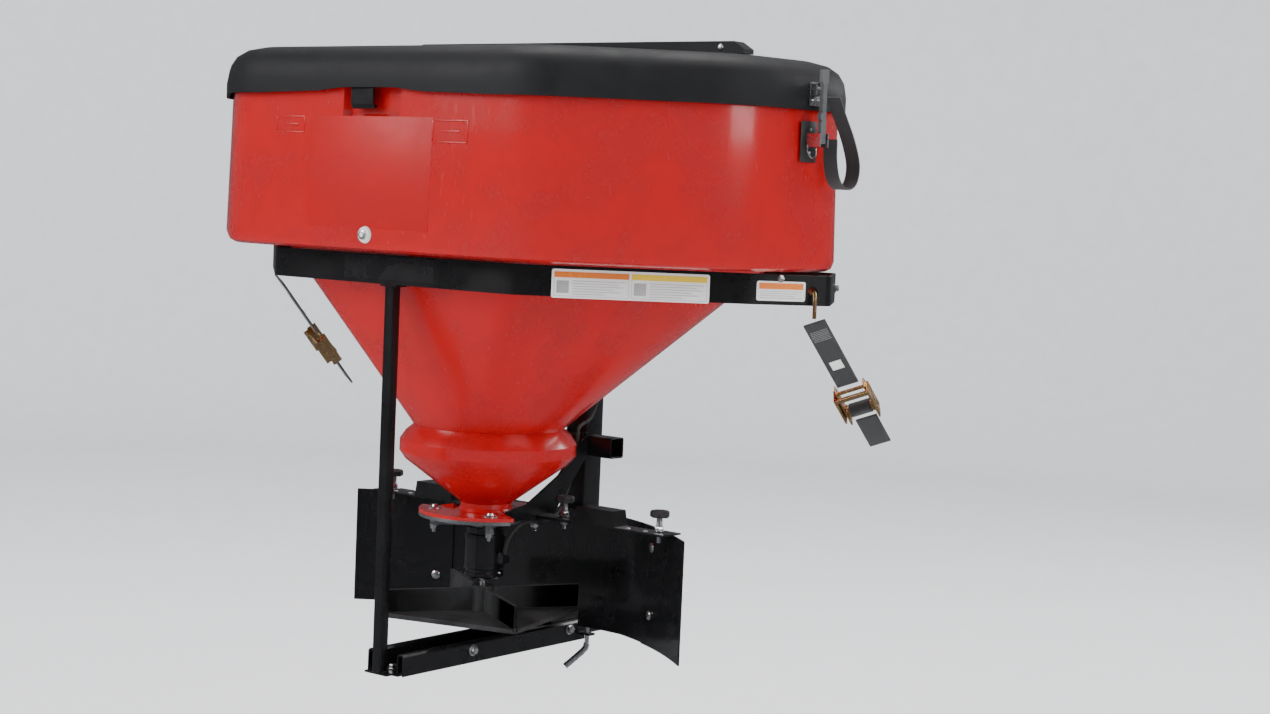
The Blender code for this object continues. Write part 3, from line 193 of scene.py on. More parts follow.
def frames_along(points, across=None):
    """A moving pair of axes across a path, without twist, or with one axis held to a given direction."""
    points = [Vector(p) for p in points]
    side = None
    found = []
    for i, point in enumerate(points):
        before, after = points[max(i - 1, 0)], points[min(i + 1, len(points) - 1)]
        run = (after - before).normalized()
        if across is not None:
            side = Vector(across) - run * run.dot(Vector(across))
        elif side is None:
            side = run.orthogonal()
        else:
            side = side - run * run.dot(side)
        side = side.normalized()
        found.append((point, side, run.cross(side)))
    return found


def add_tube(bm, points, radius, sides=14, squash=1.0, across=None):
    """A round or oval rod swept along points. The radius is one number, or one for each point."""
    radii = radius if isinstance(radius, (list, tuple)) else [radius] * len(points)
    rings = []
    for (point, side, other), r in zip(frames_along(points, across), radii):
        ring = []
        for i in range(sides):
            t = 2 * math.pi * i / sides
            ring.append(point + side * (r * math.cos(t)) + other * (r * squash * math.sin(t)))
        rings.append(ring)
    add_rings(bm, rings)


def add_ribbon(bm, points, width, thickness, across, edge=0.25):
    """A flat strap swept along points, a little thicker at its woven edges."""
    half, thin = width / 2, thickness / 2
    side = [(0, -thin * (1 - edge)), (half - thin * 3, -thin * (1 - edge)), (half - thin, -thin * 1.15),
            (half, -thin * 0.4), (half, thin * 0.4), (half - thin, thin * 1.15),
            (half - thin * 3, thin * (1 - edge)), (0, thin * (1 - edge))]
    section = side + [(-a, b) for a, b in reversed(side[1:-1])]
    rings = [[point + along * a + other * b for a, b in section]
             for point, along, other in frames_along(points, across)]
    add_rings(bm, rings)


def add_bead(bm, start, stop, radius, outward):
    """A weld bead: a low oval run with ripples about a bead's width apart."""
    start, stop = Vector(start), Vector(stop)
    steps = max(6, int((stop - start).length / (radius * 0.45)))
    points = [start.lerp(stop, i / steps) for i in range(steps + 1)]
    radii = [radius * (0.86 + 0.14 * math.cos(i * 2.1)) * (0.7 if i in (0, steps) else 1.0)
             for i in range(steps + 1)]
    add_tube(bm, points, radii, 10, 0.85, outward)


# ---- pieces ----
def piece(name, bm, finish, body, angle=35):
    """Makes one visible piece from a mesh, gives it a finish and lets it ride on a body."""
    bmesh.ops.recalc_face_normals(bm, faces=bm.faces[:])
    mesh = bpy.data.meshes.new(name)
    bm.to_mesh(mesh)
    bm.free()
    mesh.shade_smooth()
    mesh.set_sharp_from_angle(angle=math.radians(angle))
    obj = bpy.data.objects.new(name, mesh)
    bpy.context.scene.collection.objects.link(obj)
    mesh.materials.append(material_of(finish))
    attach(obj, body)
    return obj


def softened_group():
    """Geometry nodes that shade a node's mesh smooth but keep edges over an angle sharp."""
    tree = bpy.data.node_groups.get("smooth_by_angle")
    if tree:
        return tree
    tree = bpy.data.node_groups.new("smooth_by_angle", "GeometryNodeTree")
    tree.is_modifier = True
    tree.interface.new_socket("Geometry", in_out="INPUT", socket_type="NodeSocketGeometry")
    tree.interface.new_socket("Angle", in_out="INPUT", socket_type="NodeSocketFloat")
    tree.interface.new_socket("Geometry", in_out="OUTPUT", socket_type="NodeSocketGeometry")
    start = tree.nodes.new("NodeGroupInput")
    stop = tree.nodes.new("NodeGroupOutput")
    faces = tree.nodes.new("GeometryNodeSetShadeSmooth")
    edges = tree.nodes.new("GeometryNodeSetShadeSmooth")
    edges.domain = "EDGE"
    edges.inputs["Shade Smooth"].default_value = False
    bend = tree.nodes.new("GeometryNodeInputMeshEdgeAngle")
    over = tree.nodes.new("FunctionNodeCompare")
    over.operation = "GREATER_THAN"
    join = tree.links.new
    join(start.outputs["Geometry"], faces.inputs["Geometry"])
    join(faces.outputs["Geometry"], edges.inputs["Geometry"])
    join(bend.outputs["Unsigned Angle"], over.inputs[0])
    join(start.outputs["Angle"], over.inputs[1])
    join(over.outputs["Result"], edges.inputs["Selection"])
    join(edges.outputs["Geometry"], stop.inputs["Geometry"])
    return tree


def soften(node, round_edge=0.0, angle=30.0):
    """Joins a packed node's split corners, smooths its curves and rounds its hard edges."""
    obj = NODES[node]
    custom = obj.data.attributes.get("custom_normal")
    if custom:
        obj.data.attributes.remove(custom)
    weld = obj.modifiers.new("weld", "WELD")
    weld.merge_threshold = 0.00002
    if round_edge:
        flat = obj.modifiers.new("flats", "DECIMATE")
        flat.decimate_type = "DISSOLVE"
        flat.angle_limit = math.radians(0.8)
    smooth = obj.modifiers.new("smooth", "NODES")
    smooth.node_group = softened_group()
    for item in smooth.node_group.interface.items_tree:
        if item.name == "Angle":
            smooth[item.identifier] = math.radians(angle)
    if round_edge:
        edge = obj.modifiers.new("edge", "BEVEL")
        edge.width = round_edge
        edge.segments = 2
        edge.limit_method = "ANGLE"
        edge.angle_limit = math.radians(40)
        edge.harden_normals = True
        edge.use_clamp_overlap = True


# ---- shader groups ----
def skin_group(name, scales):
    """Starts a skin group: a vector and its scales go in; height, patches and scuffs come out."""
    tree = bpy.data.node_groups.new(name, "ShaderNodeTree")
    tree.interface.new_socket("Vector", in_out="INPUT", socket_type="NodeSocketVector")
    for label, value in scales.items():
        socket = tree.interface.new_socket(label, in_out="INPUT", socket_type="NodeSocketFloat")
        socket.default_value = value
    for label in ("Height", "Patches", "Scuffs"):
        tree.interface.new_socket(label, in_out="OUTPUT", socket_type="NodeSocketFloat")
    return tree, tree.nodes.new("NodeGroupInput"), tree.nodes.new("NodeGroupOutput")


def join_outputs(tree, stop, height, patches, scuffs):
    for label, value in (("Height", height), ("Patches", patches), ("Scuffs", scuffs)):
        tree.links.new(value, stop.inputs[label])


def math_node(tree, operation, first, second=None, third=None):
    node = tree.nodes.new("ShaderNodeMath")
    node.operation = operation
    for socket, value in zip(node.inputs, (first, second, third)):
        if value is None:
            continue
        if isinstance(value, (int, float)):
            socket.default_value = value
        else:
            tree.links.new(value, socket)
    return node.outputs[0]


def noise(tree, vector, scale, detail=3.0, rough=0.55, distortion=0.0):
    node = tree.nodes.new("ShaderNodeTexNoise")
    node.inputs["Detail"].default_value = detail
    node.inputs["Roughness"].default_value = rough
    node.inputs["Distortion"].default_value = distortion
    tree.links.new(vector, node.inputs["Vector"])
    if isinstance(scale, (int, float)):
        node.inputs["Scale"].default_value = scale
    else:
        tree.links.new(scale, node.inputs["Scale"])
    return node.outputs["Fac"]


def ramp(tree, value, low, high):
    node = tree.nodes.new("ShaderNodeMapRange")
    node.interpolation_type = "SMOOTHSTEP"
    node.inputs["From Min"].default_value = low
    node.inputs["From Max"].default_value = high
    tree.links.new(value, node.inputs["Value"])
    return node.outputs["Result"]


def stretched(tree, vector, factors):
    node = tree.nodes.new("ShaderNodeVectorMath")
    node.operation = "MULTIPLY"
    node.inputs[1].default_value = factors
    tree.links.new(vector, node.inputs[0])
    return node.outputs[0]


def surface_group():
    """Moulded or sprayed skin: fine grain over slow waves, and a mask for patchy colour and gloss."""
    name = "moulded_skin"
    if name in bpy.data.node_groups:
        return bpy.data.node_groups[name]
    tree, start, stop = skin_group(name, {"Fine Scale": 900.0, "Wave Scale": 9.0, "Wave Share": 0.3})
    vector = start.outputs["Vector"]
    fine = noise(tree, vector, start.outputs["Fine Scale"], 2.0, 0.6)
    wave = noise(tree, vector, start.outputs["Wave Scale"], 1.0, 0.4)
    share = start.outputs["Wave Share"]
    height = math_node(tree, "ADD", math_node(tree, "MULTIPLY", wave, share),
                       math_node(tree, "MULTIPLY", fine, math_node(tree, "SUBTRACT", 1.0, share)))
    patches = ramp(tree, noise(tree, vector, 11.0, 5.0, 0.62, 0.4), 0.36, 0.66)
    long_way = stretched(tree, vector, (1.0, 1.0, 0.14))
    line = ramp(tree, noise(tree, long_way, 85.0, 4.0, 0.7, 1.6), 0.60, 0.68)
    area = ramp(tree, noise(tree, vector, 3.6, 2.0), 0.50, 0.66)
    join_outputs(tree, stop, height, patches, math_node(tree, "MULTIPLY", line, area))
    return tree


def brushed_group():
    """Plated metal: short drawn lines and cloudy plating."""
    name = "plated_metal"
    if name in bpy.data.node_groups:
        return bpy.data.node_groups[name]
    tree, start, stop = skin_group(name, {"Line Scale": 420.0})
    vector = start.outputs["Vector"]
    lines = noise(tree, stretched(tree, vector, (1.0, 0.12, 1.0)), start.outputs["Line Scale"], 2.0, 0.6)
    clouds = ramp(tree, noise(tree, vector, 70.0, 4.0, 0.6, 0.6), 0.34, 0.68)
    specks = ramp(tree, noise(tree, vector, 640.0, 2.0, 0.5), 0.62, 0.72)
    join_outputs(tree, stop, lines, clouds, specks)
    return tree


def weave_group():
    """Woven webbing: ribs along and across, with single threads standing up."""
    name = "webbing_weave"
    if name in bpy.data.node_groups:
        return bpy.data.node_groups[name]
    tree, start, stop = skin_group(name, {"Thread Scale": 420.0})
    vector = start.outputs["Vector"]
    waves = []
    for direction in ("X", "Z"):
        wave = tree.nodes.new("ShaderNodeTexWave")
        wave.bands_direction = direction
        wave.inputs["Distortion"].default_value = 0.6
        wave.inputs["Detail"].default_value = 1.0
        tree.links.new(vector, wave.inputs["Vector"])
        tree.links.new(start.outputs["Thread Scale"], wave.inputs["Scale"])
        waves.append(math_node(tree, "ADD", wave.outputs["Fac"], 0.35))
    fuzz = noise(tree, vector, 1500.0, 2.0, 0.6)
    worn = ramp(tree, noise(tree, vector, 60.0, 3.0), 0.55, 0.75)
    join_outputs(tree, stop, math_node(tree, "MULTIPLY", *waves), fuzz, worn)
    return tree


def ribs_group():
    """Corrugated loom: rings at a close pitch along the height."""
    name = "loom_ribs"
    if name in bpy.data.node_groups:
        return bpy.data.node_groups[name]
    tree, start, stop = skin_group(name, {"Ring Scale": 60.0})
    vector = start.outputs["Vector"]
    wave = tree.nodes.new("ShaderNodeTexWave")
    wave.bands_direction = "DIAGONAL"
    tree.links.new(vector, wave.inputs["Vector"])
    tree.links.new(start.outputs["Ring Scale"], wave.inputs["Scale"])
    worn = ramp(tree, noise(tree, vector, 40.0, 3.0), 0.55, 0.75)
    join_outputs(tree, stop, wave.outputs["Fac"], noise(tree, vector, 120.0, 3.0), worn)
    return tree


def colour_mix(tree, first, second, share):
    """Mixes a fixed or linked colour with a fixed one by a mask."""
    mix = tree.nodes.new("ShaderNodeMix")
    mix.data_type = "RGBA"
    if isinstance(first, tuple):
        mix.inputs["A"].default_value = (*first, 1.0)
    else:
        tree.links.new(first, mix.inputs["A"])
    mix.inputs["B"].default_value = (*second, 1.0)
    tree.links.new(share, mix.inputs["Factor"])
    return mix.outputs["Result"]


def make_finish(name, group, settings, colour, tint, rough, bump, scuff, scuff_share,
                metallic=0.0, coat=0.0, coat_rough=0.05, sheen=0.0, specular=0.5):
    """One material: a skin group drives its colour, roughness and bump. Even values sit on the shader."""
    found = bpy.data.materials.get(name)
    if found:
        return found
    mat = bpy.data.materials.new(name)
    mat.use_nodes = True
    tree = mat.node_tree
    shader = tree.nodes["Principled BSDF"]
    for label, value in (("Metallic", metallic), ("Coat Weight", coat), ("Coat Roughness", coat_rough),
                         ("Sheen Weight", sheen), ("Specular IOR Level", specular)):
        shader.inputs[label].default_value = value
    place = tree.nodes.new("ShaderNodeTexCoord")
    surface = tree.nodes.new("ShaderNodeGroup")
    surface.node_tree = group()
    tree.links.new(place.outputs["Object"], surface.inputs["Vector"])
    for label, value in settings.items():
        surface.inputs[label].default_value = value
    patches, scuffs = surface.outputs["Patches"], surface.outputs["Scuffs"]
    base = colour_mix(tree, colour, tint, patches)
    worn = colour_mix(tree, base, scuff, math_node(tree, "MULTIPLY", scuffs, scuff_share))
    tree.links.new(worn, shader.inputs["Base Color"])
    spread = math_node(tree, "MULTIPLY_ADD", patches, rough[1] - rough[0], rough[0])
    tree.links.new(math_node(tree, "MULTIPLY_ADD", scuffs, 0.14, spread), shader.inputs["Roughness"])
    relief = tree.nodes.new("ShaderNodeBump")
    relief.inputs["Strength"].default_value = bump[0]
    relief.inputs["Distance"].default_value = bump[1]
    tree.links.new(surface.outputs["Height"], relief.inputs["Height"])
    tree.links.new(relief.outputs["Normal"], shader.inputs["Normal"])
    return mat


def scaled(colour, amount):
    return tuple(c * amount for c in colour)


def skin(fine, wave, share):
    return {"Fine Scale": fine, "Wave Scale": wave, "Wave Share": share}


def finish_table():
    """Each finish: its name, skin, two colours, roughness range, relief, scuffs, and other shader values."""
    colours = bpy.context.scene.spreader_finish
    red, lid, steel = tuple(colours.hopper_red), tuple(colours.lid_black), tuple(colours.coat_black)
    zinc, gold = tuple(colours.zinc), tuple(colours.yellow_zinc)
    film = skin(300.0, 30.0, 0.6)
    return {
        "red_poly": ("red_rotomoulded_poly", surface_group, skin(700.0, 7.0, 0.72),
                     red, scaled(red, 0.86), (0.20, 0.30), (0.22, 0.0011), scaled(red, 1.35), 0.12,
                     {"coat": colours.hopper_gloss, "coat_rough": 0.10}),
        "lid_poly": ("lid_textured_poly", surface_group, skin(850.0, 16.0, 0.25),
                     lid, scaled(lid, 1.30), (0.50, 0.62), (0.42, 0.0006), scaled(lid, 2.2), 0.25,
                     {"specular": 0.18}),
        "coat": ("black_powder_coat", surface_group, skin(620.0, 60.0, 0.5),
                 steel, scaled(steel, 1.5), (0.26, 0.38), (0.16, 0.0004), scaled(steel, 4.0), 0.22,
                 {"coat": 0.18, "coat_rough": 0.10, "specular": 0.35}),
        "shield_coat": ("black_sheet_coat", surface_group, skin(420.0, 14.0, 0.6),
                        steel, scaled(steel, 1.4), (0.20, 0.32), (0.14, 0.0005), scaled(steel, 4.0), 0.28,
                        {"coat": 0.22, "coat_rough": 0.08, "specular": 0.35}),
        "motor_coat": ("motor_gloss_black", surface_group, skin(500.0, 40.0, 0.4),
                       steel, scaled(steel, 1.3), (0.12, 0.20), (0.08, 0.0003), scaled(steel, 3.0), 0.1,
                       {"coat": 0.5, "specular": 0.4}),
        "spinner_poly": ("spinner_cast_poly", surface_group, skin(520.0, 42.0, 0.45),
                         (0.020, 0.020, 0.021), (0.036, 0.036, 0.037), (0.36, 0.52), (0.55, 0.0010),
                         (0.085, 0.085, 0.085), 0.45, {}),
        "knob_poly": ("knob_black_poly", surface_group, skin(900.0, 60.0, 0.3),
                      (0.016, 0.016, 0.017), (0.028, 0.028, 0.028), (0.34, 0.46), (0.35, 0.0004),
                      (0.06, 0.06, 0.06), 0.3, {}),
        "zinc": ("bright_zinc", brushed_group, {"Line Scale": 420.0},
                 zinc, scaled(zinc, 0.80), (0.22, 0.38), (0.12, 0.0002), scaled(zinc, 0.55), 0.4,
                 {"metallic": 1.0}),
        "grey_zinc": ("galvanised_plate", brushed_group, {"Line Scale": 120.0},
                      scaled(zinc, 0.66), scaled(zinc, 0.44), (0.34, 0.52), (0.16, 0.0003),
                      scaled(zinc, 0.35), 0.5, {"metallic": 1.0}),
        "gold": ("yellow_chromate", brushed_group, {"Line Scale": 380.0},
                 gold, (gold[0] * 0.86, gold[1] * 0.78, gold[2] * 1.3), (0.20, 0.34), (0.10, 0.0002),
                 (gold[0] * 0.6, gold[1] * 0.42, gold[2] * 0.8), 0.5, {"metallic": 1.0}),
        "rubber": ("latch_rubber", surface_group, skin(1100.0, 90.0, 0.3),
                   (0.060, 0.061, 0.063), (0.085, 0.086, 0.088), (0.58, 0.72), (0.4, 0.0004),
                   (0.14, 0.14, 0.14), 0.35, {}),
        "webbing": ("woven_webbing", weave_group, {"Thread Scale": 230.0},
                    (0.010, 0.010, 0.011), (0.028, 0.028, 0.029), (0.70, 0.86), (0.8, 0.0007),
                    (0.05, 0.05, 0.05), 0.3, {"sheen": 0.25}),
        "white_poly": ("plug_white_poly", surface_group, skin(800.0, 50.0, 0.4),
                       (0.74, 0.74, 0.72), (0.62, 0.61, 0.58), (0.32, 0.44), (0.2, 0.0003),
                       (0.40, 0.38, 0.36), 0.4, {}),
        "loom": ("cable_loom", ribs_group, {"Ring Scale": 75.0},
                 (0.020, 0.020, 0.021), (0.040, 0.040, 0.041), (0.42, 0.55), (0.9, 0.0012),
                 (0.08, 0.08, 0.08), 0.3, {}),
        "label_black": ("label_black_film", surface_group, film,
                        (0.006, 0.006, 0.007), (0.010, 0.010, 0.011), (0.22, 0.34), (0.06, 0.0002),
                        (0.04, 0.04, 0.04), 0.2, {"coat": 0.15}),
        "label_clear": ("label_clear_film", surface_group, skin(300.0, 12.0, 0.8),
                        scaled(red, 0.92), scaled(red, 0.84), (0.36, 0.46), (0.05, 0.0003),
                        scaled(red, 1.2), 0.15, {"specular": 0.22}),
        "label_white": ("label_white_film", surface_group, film,
                        (0.80, 0.80, 0.78), (0.72, 0.72, 0.70), (0.24, 0.34), (0.06, 0.0002),
                        (0.55, 0.54, 0.52), 0.25, {}),
        "label_orange": ("label_orange_film", surface_group, film,
                         (0.78, 0.20, 0.02), (0.70, 0.17, 0.02), (0.24, 0.34), (0.06, 0.0002),
                         (0.55, 0.25, 0.12), 0.25, {}),
        "label_yellow": ("label_yellow_film", surface_group, film,
                         (0.82, 0.60, 0.03), (0.75, 0.53, 0.03), (0.24, 0.34), (0.06, 0.0002),
                         (0.6, 0.5, 0.2), 0.25, {}),
        "label_grey": ("label_grey_ink", surface_group, film,
                       (0.34, 0.34, 0.34), (0.42, 0.42, 0.41), (0.30, 0.40), (0.05, 0.0002),
                       (0.5, 0.5, 0.5), 0.25, {}),
    }


FINISHES = {}
BY_SLOT = {"hopper_red_poly": "red_poly", "black_poly": "lid_poly", "black_coated_steel": "coat",
           "zinc_plate": "zinc", "yellow_zinc": "gold", "grey_rubber": "rubber",
           "black_webbing": "webbing", "white_poly": "white_poly", "cable_loom": "loom"}
BY_NODE = {"spinner_disc": "spinner_poly", "motor_housing": "motor_coat", "motor_plug": "knob_poly"}
BY_NODE.update(dict.fromkeys(("chute_plate", "motor_spider", "agitator", "agitator_bar"), "grey_zinc"))
BY_NODE.update(dict.fromkeys(("deflector_center", "deflector_wing_left", "deflector_wing_right"),
                             "shield_coat"))
ROUNDED = {"spinner_disc": 0.0014, "lid_bar": 0.0022, "hopper_frame_band": 0.0012, "rear_post": 0.0008,
           "lower_arm": 0.0005, "drawbar": 0.0006, "mast": 0.0008, "cross_tube": 0.0008}
ROUNDED.update(dict.fromkeys(("hopper_shell", "lid", "motor_cable", "lid_check_strap", "agitator",
                              "hitch_clip", "drive_shaft"), 0.0))


def material_of(finish):
    """The material of one finish, made when it's first asked for."""
    *values, extras = FINISHES[finish]
    return make_finish(*values, **extras)


def sizes():
    return bpy.context.scene.spreader_sizes


# ---- finishes on the packed nodes ----
def finish_nodes():
    """Puts a finish and softened edges on every packed node."""
    slots = {row["node"]: row["material_slot"] for row in frame["record"]["subparts"]}
    for name, obj in NODES.items():
        obj.data.materials.clear()
        obj.data.materials.append(material_of(BY_NODE.get(name) or BY_SLOT[slots[name]]))
        width = ROUNDED.get(name, sizes().node_edge)
        soften(name, width, 40.0 if name == "lid" else 30.0)
    for name in ("inner_knob_left", "inner_knob_right", "outer_knob_left", "outer_knob_right"):
        mesh = NODES[name].data
        mesh.materials[0] = material_of("zinc")
        mesh.materials.append(material_of("knob_poly"))
        for face in mesh.polygons:
            face.material_index = 1 if face.center.z > DATUM.z + KNOB_HEAD else 0


# ---- hopper ----
def rear_matrix(x, z, out=0.0):
    """A place on the hopper's rear face, which leans in a little towards the rim."""
    y = -0.0700 + REAR_LEAN * (z - 0.740)
    return aim(at(x, y - out, z), (0.0, -1.0, REAR_LEAN))


def hopper_details():
    """Low moulded marks, the blank panel on the rear face and the drain plug's hexagon."""
    bm = bmesh.new()
    line = 0.003
    for x, wide, z, high in ((-0.1915, 0.067, 0.9322, 0.0265), (0.178, 0.076, 0.9255, 0.035)):
        for dx, dz, w, h in ((0, high / 2, wide, line), (0, -high / 2, wide, line),
                             (-wide / 2, 0, line, high), (wide / 2, 0, line, high),
                             (0, 0, wide * 0.55, 0.004)):
            add_slab(bm, rear_matrix(x + dx, z + dz), (w, h, 0.0016), 0.0007, 3)
    piece("hopper_moulded_marks", bm, "red_poly", "frame")
    bm = bmesh.new()
    add_slab(bm, rear_matrix(0.0, 0.8555, 0.0001), (0.280, 0.185, 0.0004), 0.0002)
    piece("hopper_blank_panel", bm, "label_clear", "frame")
    bm = bmesh.new()
    add_hex(bm, aim(at(0.0, -0.0751, PLUG_HEIGHT), (0, -1, 0)), 0.0150, 0.0034, 0.0008)
    piece("drain_plug_bolt", bm, "zinc", "frame")


# ---- labels on the frame band ----
def add_label(bm, matrix, x0, x1, z0, z1, layer, soft=0.0002):
    """One layer of a label on a local face, x along it and z up it."""
    thick = sizes().label_thickness
    shift = Matrix.Translation(((x0 + x1) / 2, (z0 + z1) / 2, thick * (0.5 + layer)))
    add_slab(bm, matrix @ shift, (x1 - x0, z1 - z0, thick), min(soft, thick * 0.4), 1)


def add_label_card(bm, matrix, x0, x1, z0, z1, radius=0.0035):
    """A label's base with rounded corners."""
    thick = sizes().label_thickness
    ring = []
    for cx, cz, turn in ((x1 - radius, z1 - radius, 0), (x0 + radius, z1 - radius, 90),
                         (x0 + radius, z0 + radius, 180), (x1 - radius, z0 + radius, 270)):
        for step in (0, 22.5, 45, 67.5, 90):
            t = math.radians(turn + step)
            ring.append((cx + radius * math.cos(t), cz + radius * math.sin(t)))
    add_rings(bm, [[matrix @ Vector((x, z, h)) for x, z in ring] for h in (0.00002, thick)])


def band_labels():
    """A blank black plate behind, a two-column label on the slanted flat, a small one on the side flat."""
    rear = aim(at(0.0, -0.0120, 0.0), (0, -1, 0))
    bm = bmesh.new()
    add_label_card(bm, rear, -0.104, 0.104, 0.6767, 0.7152, 0.002)
    piece("band_blank_plate", bm, "label_black", "frame")
    base, orange, yellow, ink = bmesh.new(), bmesh.new(), bmesh.new(), bmesh.new()
    start, _, out, _ = band_side(0)
    slant = aim(DATUM + start, out)
    low, high, left, split, right = 0.6672, 0.7138, 0.062, 0.189, 0.3175
    add_label_card(base, slant, left, right, low, high)
    head = high - 0.0135
    add_label(orange, slant, left + 0.004, split - 0.002, head, high - 0.004, 1)
    add_label(yellow, slant, split + 0.002, right - 0.004, head, high - 0.004, 1)
    for x0, x1 in ((left + 0.004, split - 0.002), (split + 0.002, right - 0.004)):
        for x in (x0, x1 - 0.0006):
            add_label(ink, slant, x, x + 0.0006, low + 0.003, head, 1)
        add_label(ink, slant, x0, x1, low + 0.003, low + 0.0036, 1)
        add_label(ink, slant, x0 + 0.004, x0 + 0.024, low + 0.008, head - 0.005, 1)
        for row in range(6):
            z = head - 0.0045 - row * 0.0042
            reach = (0.0, 0.012, 0.004, 0.020, 0.008, 0.034)[row]
            add_label(ink, slant, x0 + 0.030, x1 - 0.005 - reach, z - 0.0011, z, 1)
    start, _, out, _ = band_side(1)
    side = aim(DATUM + start, out)
    add_label_card(base, side, 0.014, 0.0985, 0.6755, 0.7075)
    add_label(orange, side, 0.018, 0.0945, 0.6945, 0.7045, 1)
    for row in range(4):
        z = 0.6905 - row * 0.0036
        add_label(ink, side, 0.020, 0.092 - 0.006 * (row % 3), z, z + 0.0009, 1)
    for name, mesh, finish in (("base", base, "label_white"), ("orange", orange, "label_orange"),
                               ("yellow", yellow, "label_yellow"), ("ink", ink, "label_grey")):
        piece("band_label_" + name, mesh, finish, "frame")


# ---- frame ----
def frame_hardware():
    """Weld beads where the tubes and plates meet, and the bolts of the band, post and arm."""
    r = sizes().weld_radius
    bm = bmesh.new()

    def bead(a, b, out):
        add_bead(bm, at(*a), at(*b), r, out)
    for sign in (-1, 1):
        bead((sign * 0.0095, -0.0090, 0.0070), (sign * 0.0095, 0.0090, 0.0070), (sign, 0, 1))
        bead((sign * 0.0095, -0.0088, 0.6655), (sign * 0.0095, 0.0090, 0.6655), (sign, 0, -1))
        bead((sign * 0.0254, 0.5070, 0.0560), (sign * 0.0254, 0.5540, 0.0560), (sign, 0, 1))
        bead((sign * 0.0595, 0.4668, 0.3550), (sign * 0.0595, 0.4668, 0.3890), (sign, -1, 0))
        bead((-0.0240, 0.5048, 0.371 + sign * 0.0190), (0.0240, 0.5048, 0.371 + sign * 0.0190),
             (0, -1, sign))
    bead((-0.0085, -0.0098, 0.0070), (0.0085, -0.0098, 0.0070), (0, -1, 1))
    bead((-0.0085, -0.0098, 0.6655), (0.0085, -0.0098, 0.6655), (0, -1, -1))
    bead((-0.0230, 0.5050, 0.0560), (0.0230, 0.5050, 0.0560), (0, -1, 1))
    piece("frame_weld_beads", bm, "coat", "frame")
    bolts = bmesh.new()
    across = sizes().bolt_across
    for y in (0.034, 0.062):
        add_bolt(bolts, aim(at(0.0, y, 0.0068), (0, 0, 1), (0, 1, 0)), across, 0.0105)
    for sign in (-1, 1):
        start, run, out, _ = band_side(1, sign)
        add_bolt(bolts, aim(DATUM + start + run * 0.055 + Vector((0, 0, 0.7120)), out), 0.0085, 0.0062)
        start, run, out, length = band_side(2, sign)
        place = DATUM + start + run * (length - 0.018) + Vector((0, 0, 0.694))
        add_bolt(bolts, aim(place, out), 0.0100, 0.0080)
        for y, z in ((0.190, 0.024), (0.458, 0.026)):
            add_bolt(bolts, aim(at(sign * 0.0420, y, z), (sign, 0, 0)), across, 0.0105)
    piece("frame_bolts", bolts, "zinc", "frame")


# ---- chute and motor ----
def chute_hardware():
    """The two front chute bolts with their nuts, and washers round the rear ones."""
    bm = bmesh.new()
    for sign in (-1, 1):
        add_bolt(bm, aim(at(sign * 0.036, 0.353, 0.26455), (0, 0, 1), (0, 1, 0)), 0.0130, 0.0098)
        add_bolt(bm, aim(at(sign * 0.036, 0.353, 0.23490), (0, 0, -1), (0, 1, 0)), 0.0130, 0.0090, 0.006)
        disc = [(0.0062, 0.0), (0.0135, 0.0001), (0.0135, 0.0014), (0.0128, 0.0018), (0.0096, 0.0018)]
        add_turned(bm, disc, aim(at(sign * 0.066, 0.195, 0.26452), (0, 0, 1)), 28)
    piece("chute_front_bolts", bm, "zinc", "frame")
    rods = bmesh.new()
    for sign in (-1, 1):
        foot = aim(at(sign * 0.106, 0.352, 0.2477), (0, 0, -1))
        add_bolt(rods, foot, 0.0115, 0.0088, 0.007)
    piece("brace_stud_nuts", rods, "zinc", "frame")


def motor_details():
    """Through-bolts under the motor, its clamp band and the ties on the cable."""
    bm = bmesh.new()
    for angle in (35, 125, 215, 305):
        t = math.radians(angle)
        place = at(0.024 * math.cos(t), DRIVE_Y + 0.024 * math.sin(t), 0.1440)
        add_bolt(bm, aim(place, (0, 0, -1)), 0.0070, 0.0050)
    piece("motor_through_bolts", bm, "zinc", "frame")
    bm = bmesh.new()
    ring = aim(at(0.0, DRIVE_Y, 0.0), (0, 0, 1))
    for radius, low, high, slope in ((0.0370, 0.2125, 0.2185, 0.0015), (0.0368, 0.1648, 0.1684, 0.0014)):
        add_turned(bm, [(0.0352, low), (radius - 0.0002, low + 0.0002), (radius, low + slope),
                        (radius, high - slope), (radius - 0.0002, high - 0.0002), (0.0352, high)], ring, 56)
    piece("motor_rims", bm, "motor_coat", "frame")
    bm = bmesh.new()
    mesh = NODES["motor_cable"].data
    for height in (0.255, 0.335, 0.415):
        near = [v.co for v in mesh.vertices if abs(v.co.z - (DATUM.z + height)) < 0.012]
        if not near:
            continue
        middle = sum(near, Vector()) / len(near)
        turn = aim(middle, (0, 0.25, 1))
        add_turned(bm, [(0.0034, -0.0017), (0.0049, -0.0016), (0.0051, 0.0), (0.0049, 0.0016),
                        (0.0034, 0.0017)], turn, 20)
        add_slab(bm, turn @ Matrix.Translation((0.0, -0.0062, 0.0)), (0.0042, 0.0034, 0.0046), 0.0006)
    piece("cable_ties", bm, "knob_poly", "frame")


# ---- lid and latches ----
def side_face(sign, y=0.300):
    """Place, outward and forward directions of the hopper's long side at a given Y."""
    a, b = Vector((0.605, 0.163)), Vector((0.635, 0.385))
    t = (y - a.y) / (b.y - a.y)
    run = (b - a).normalized()
    return (Vector((sign * (a.x + (b.x - a.x) * t), y, 0.0)), Vector((sign * run.y, -run.x, 0.0)),
            Vector((sign * run.x, run.y, 0.0)))


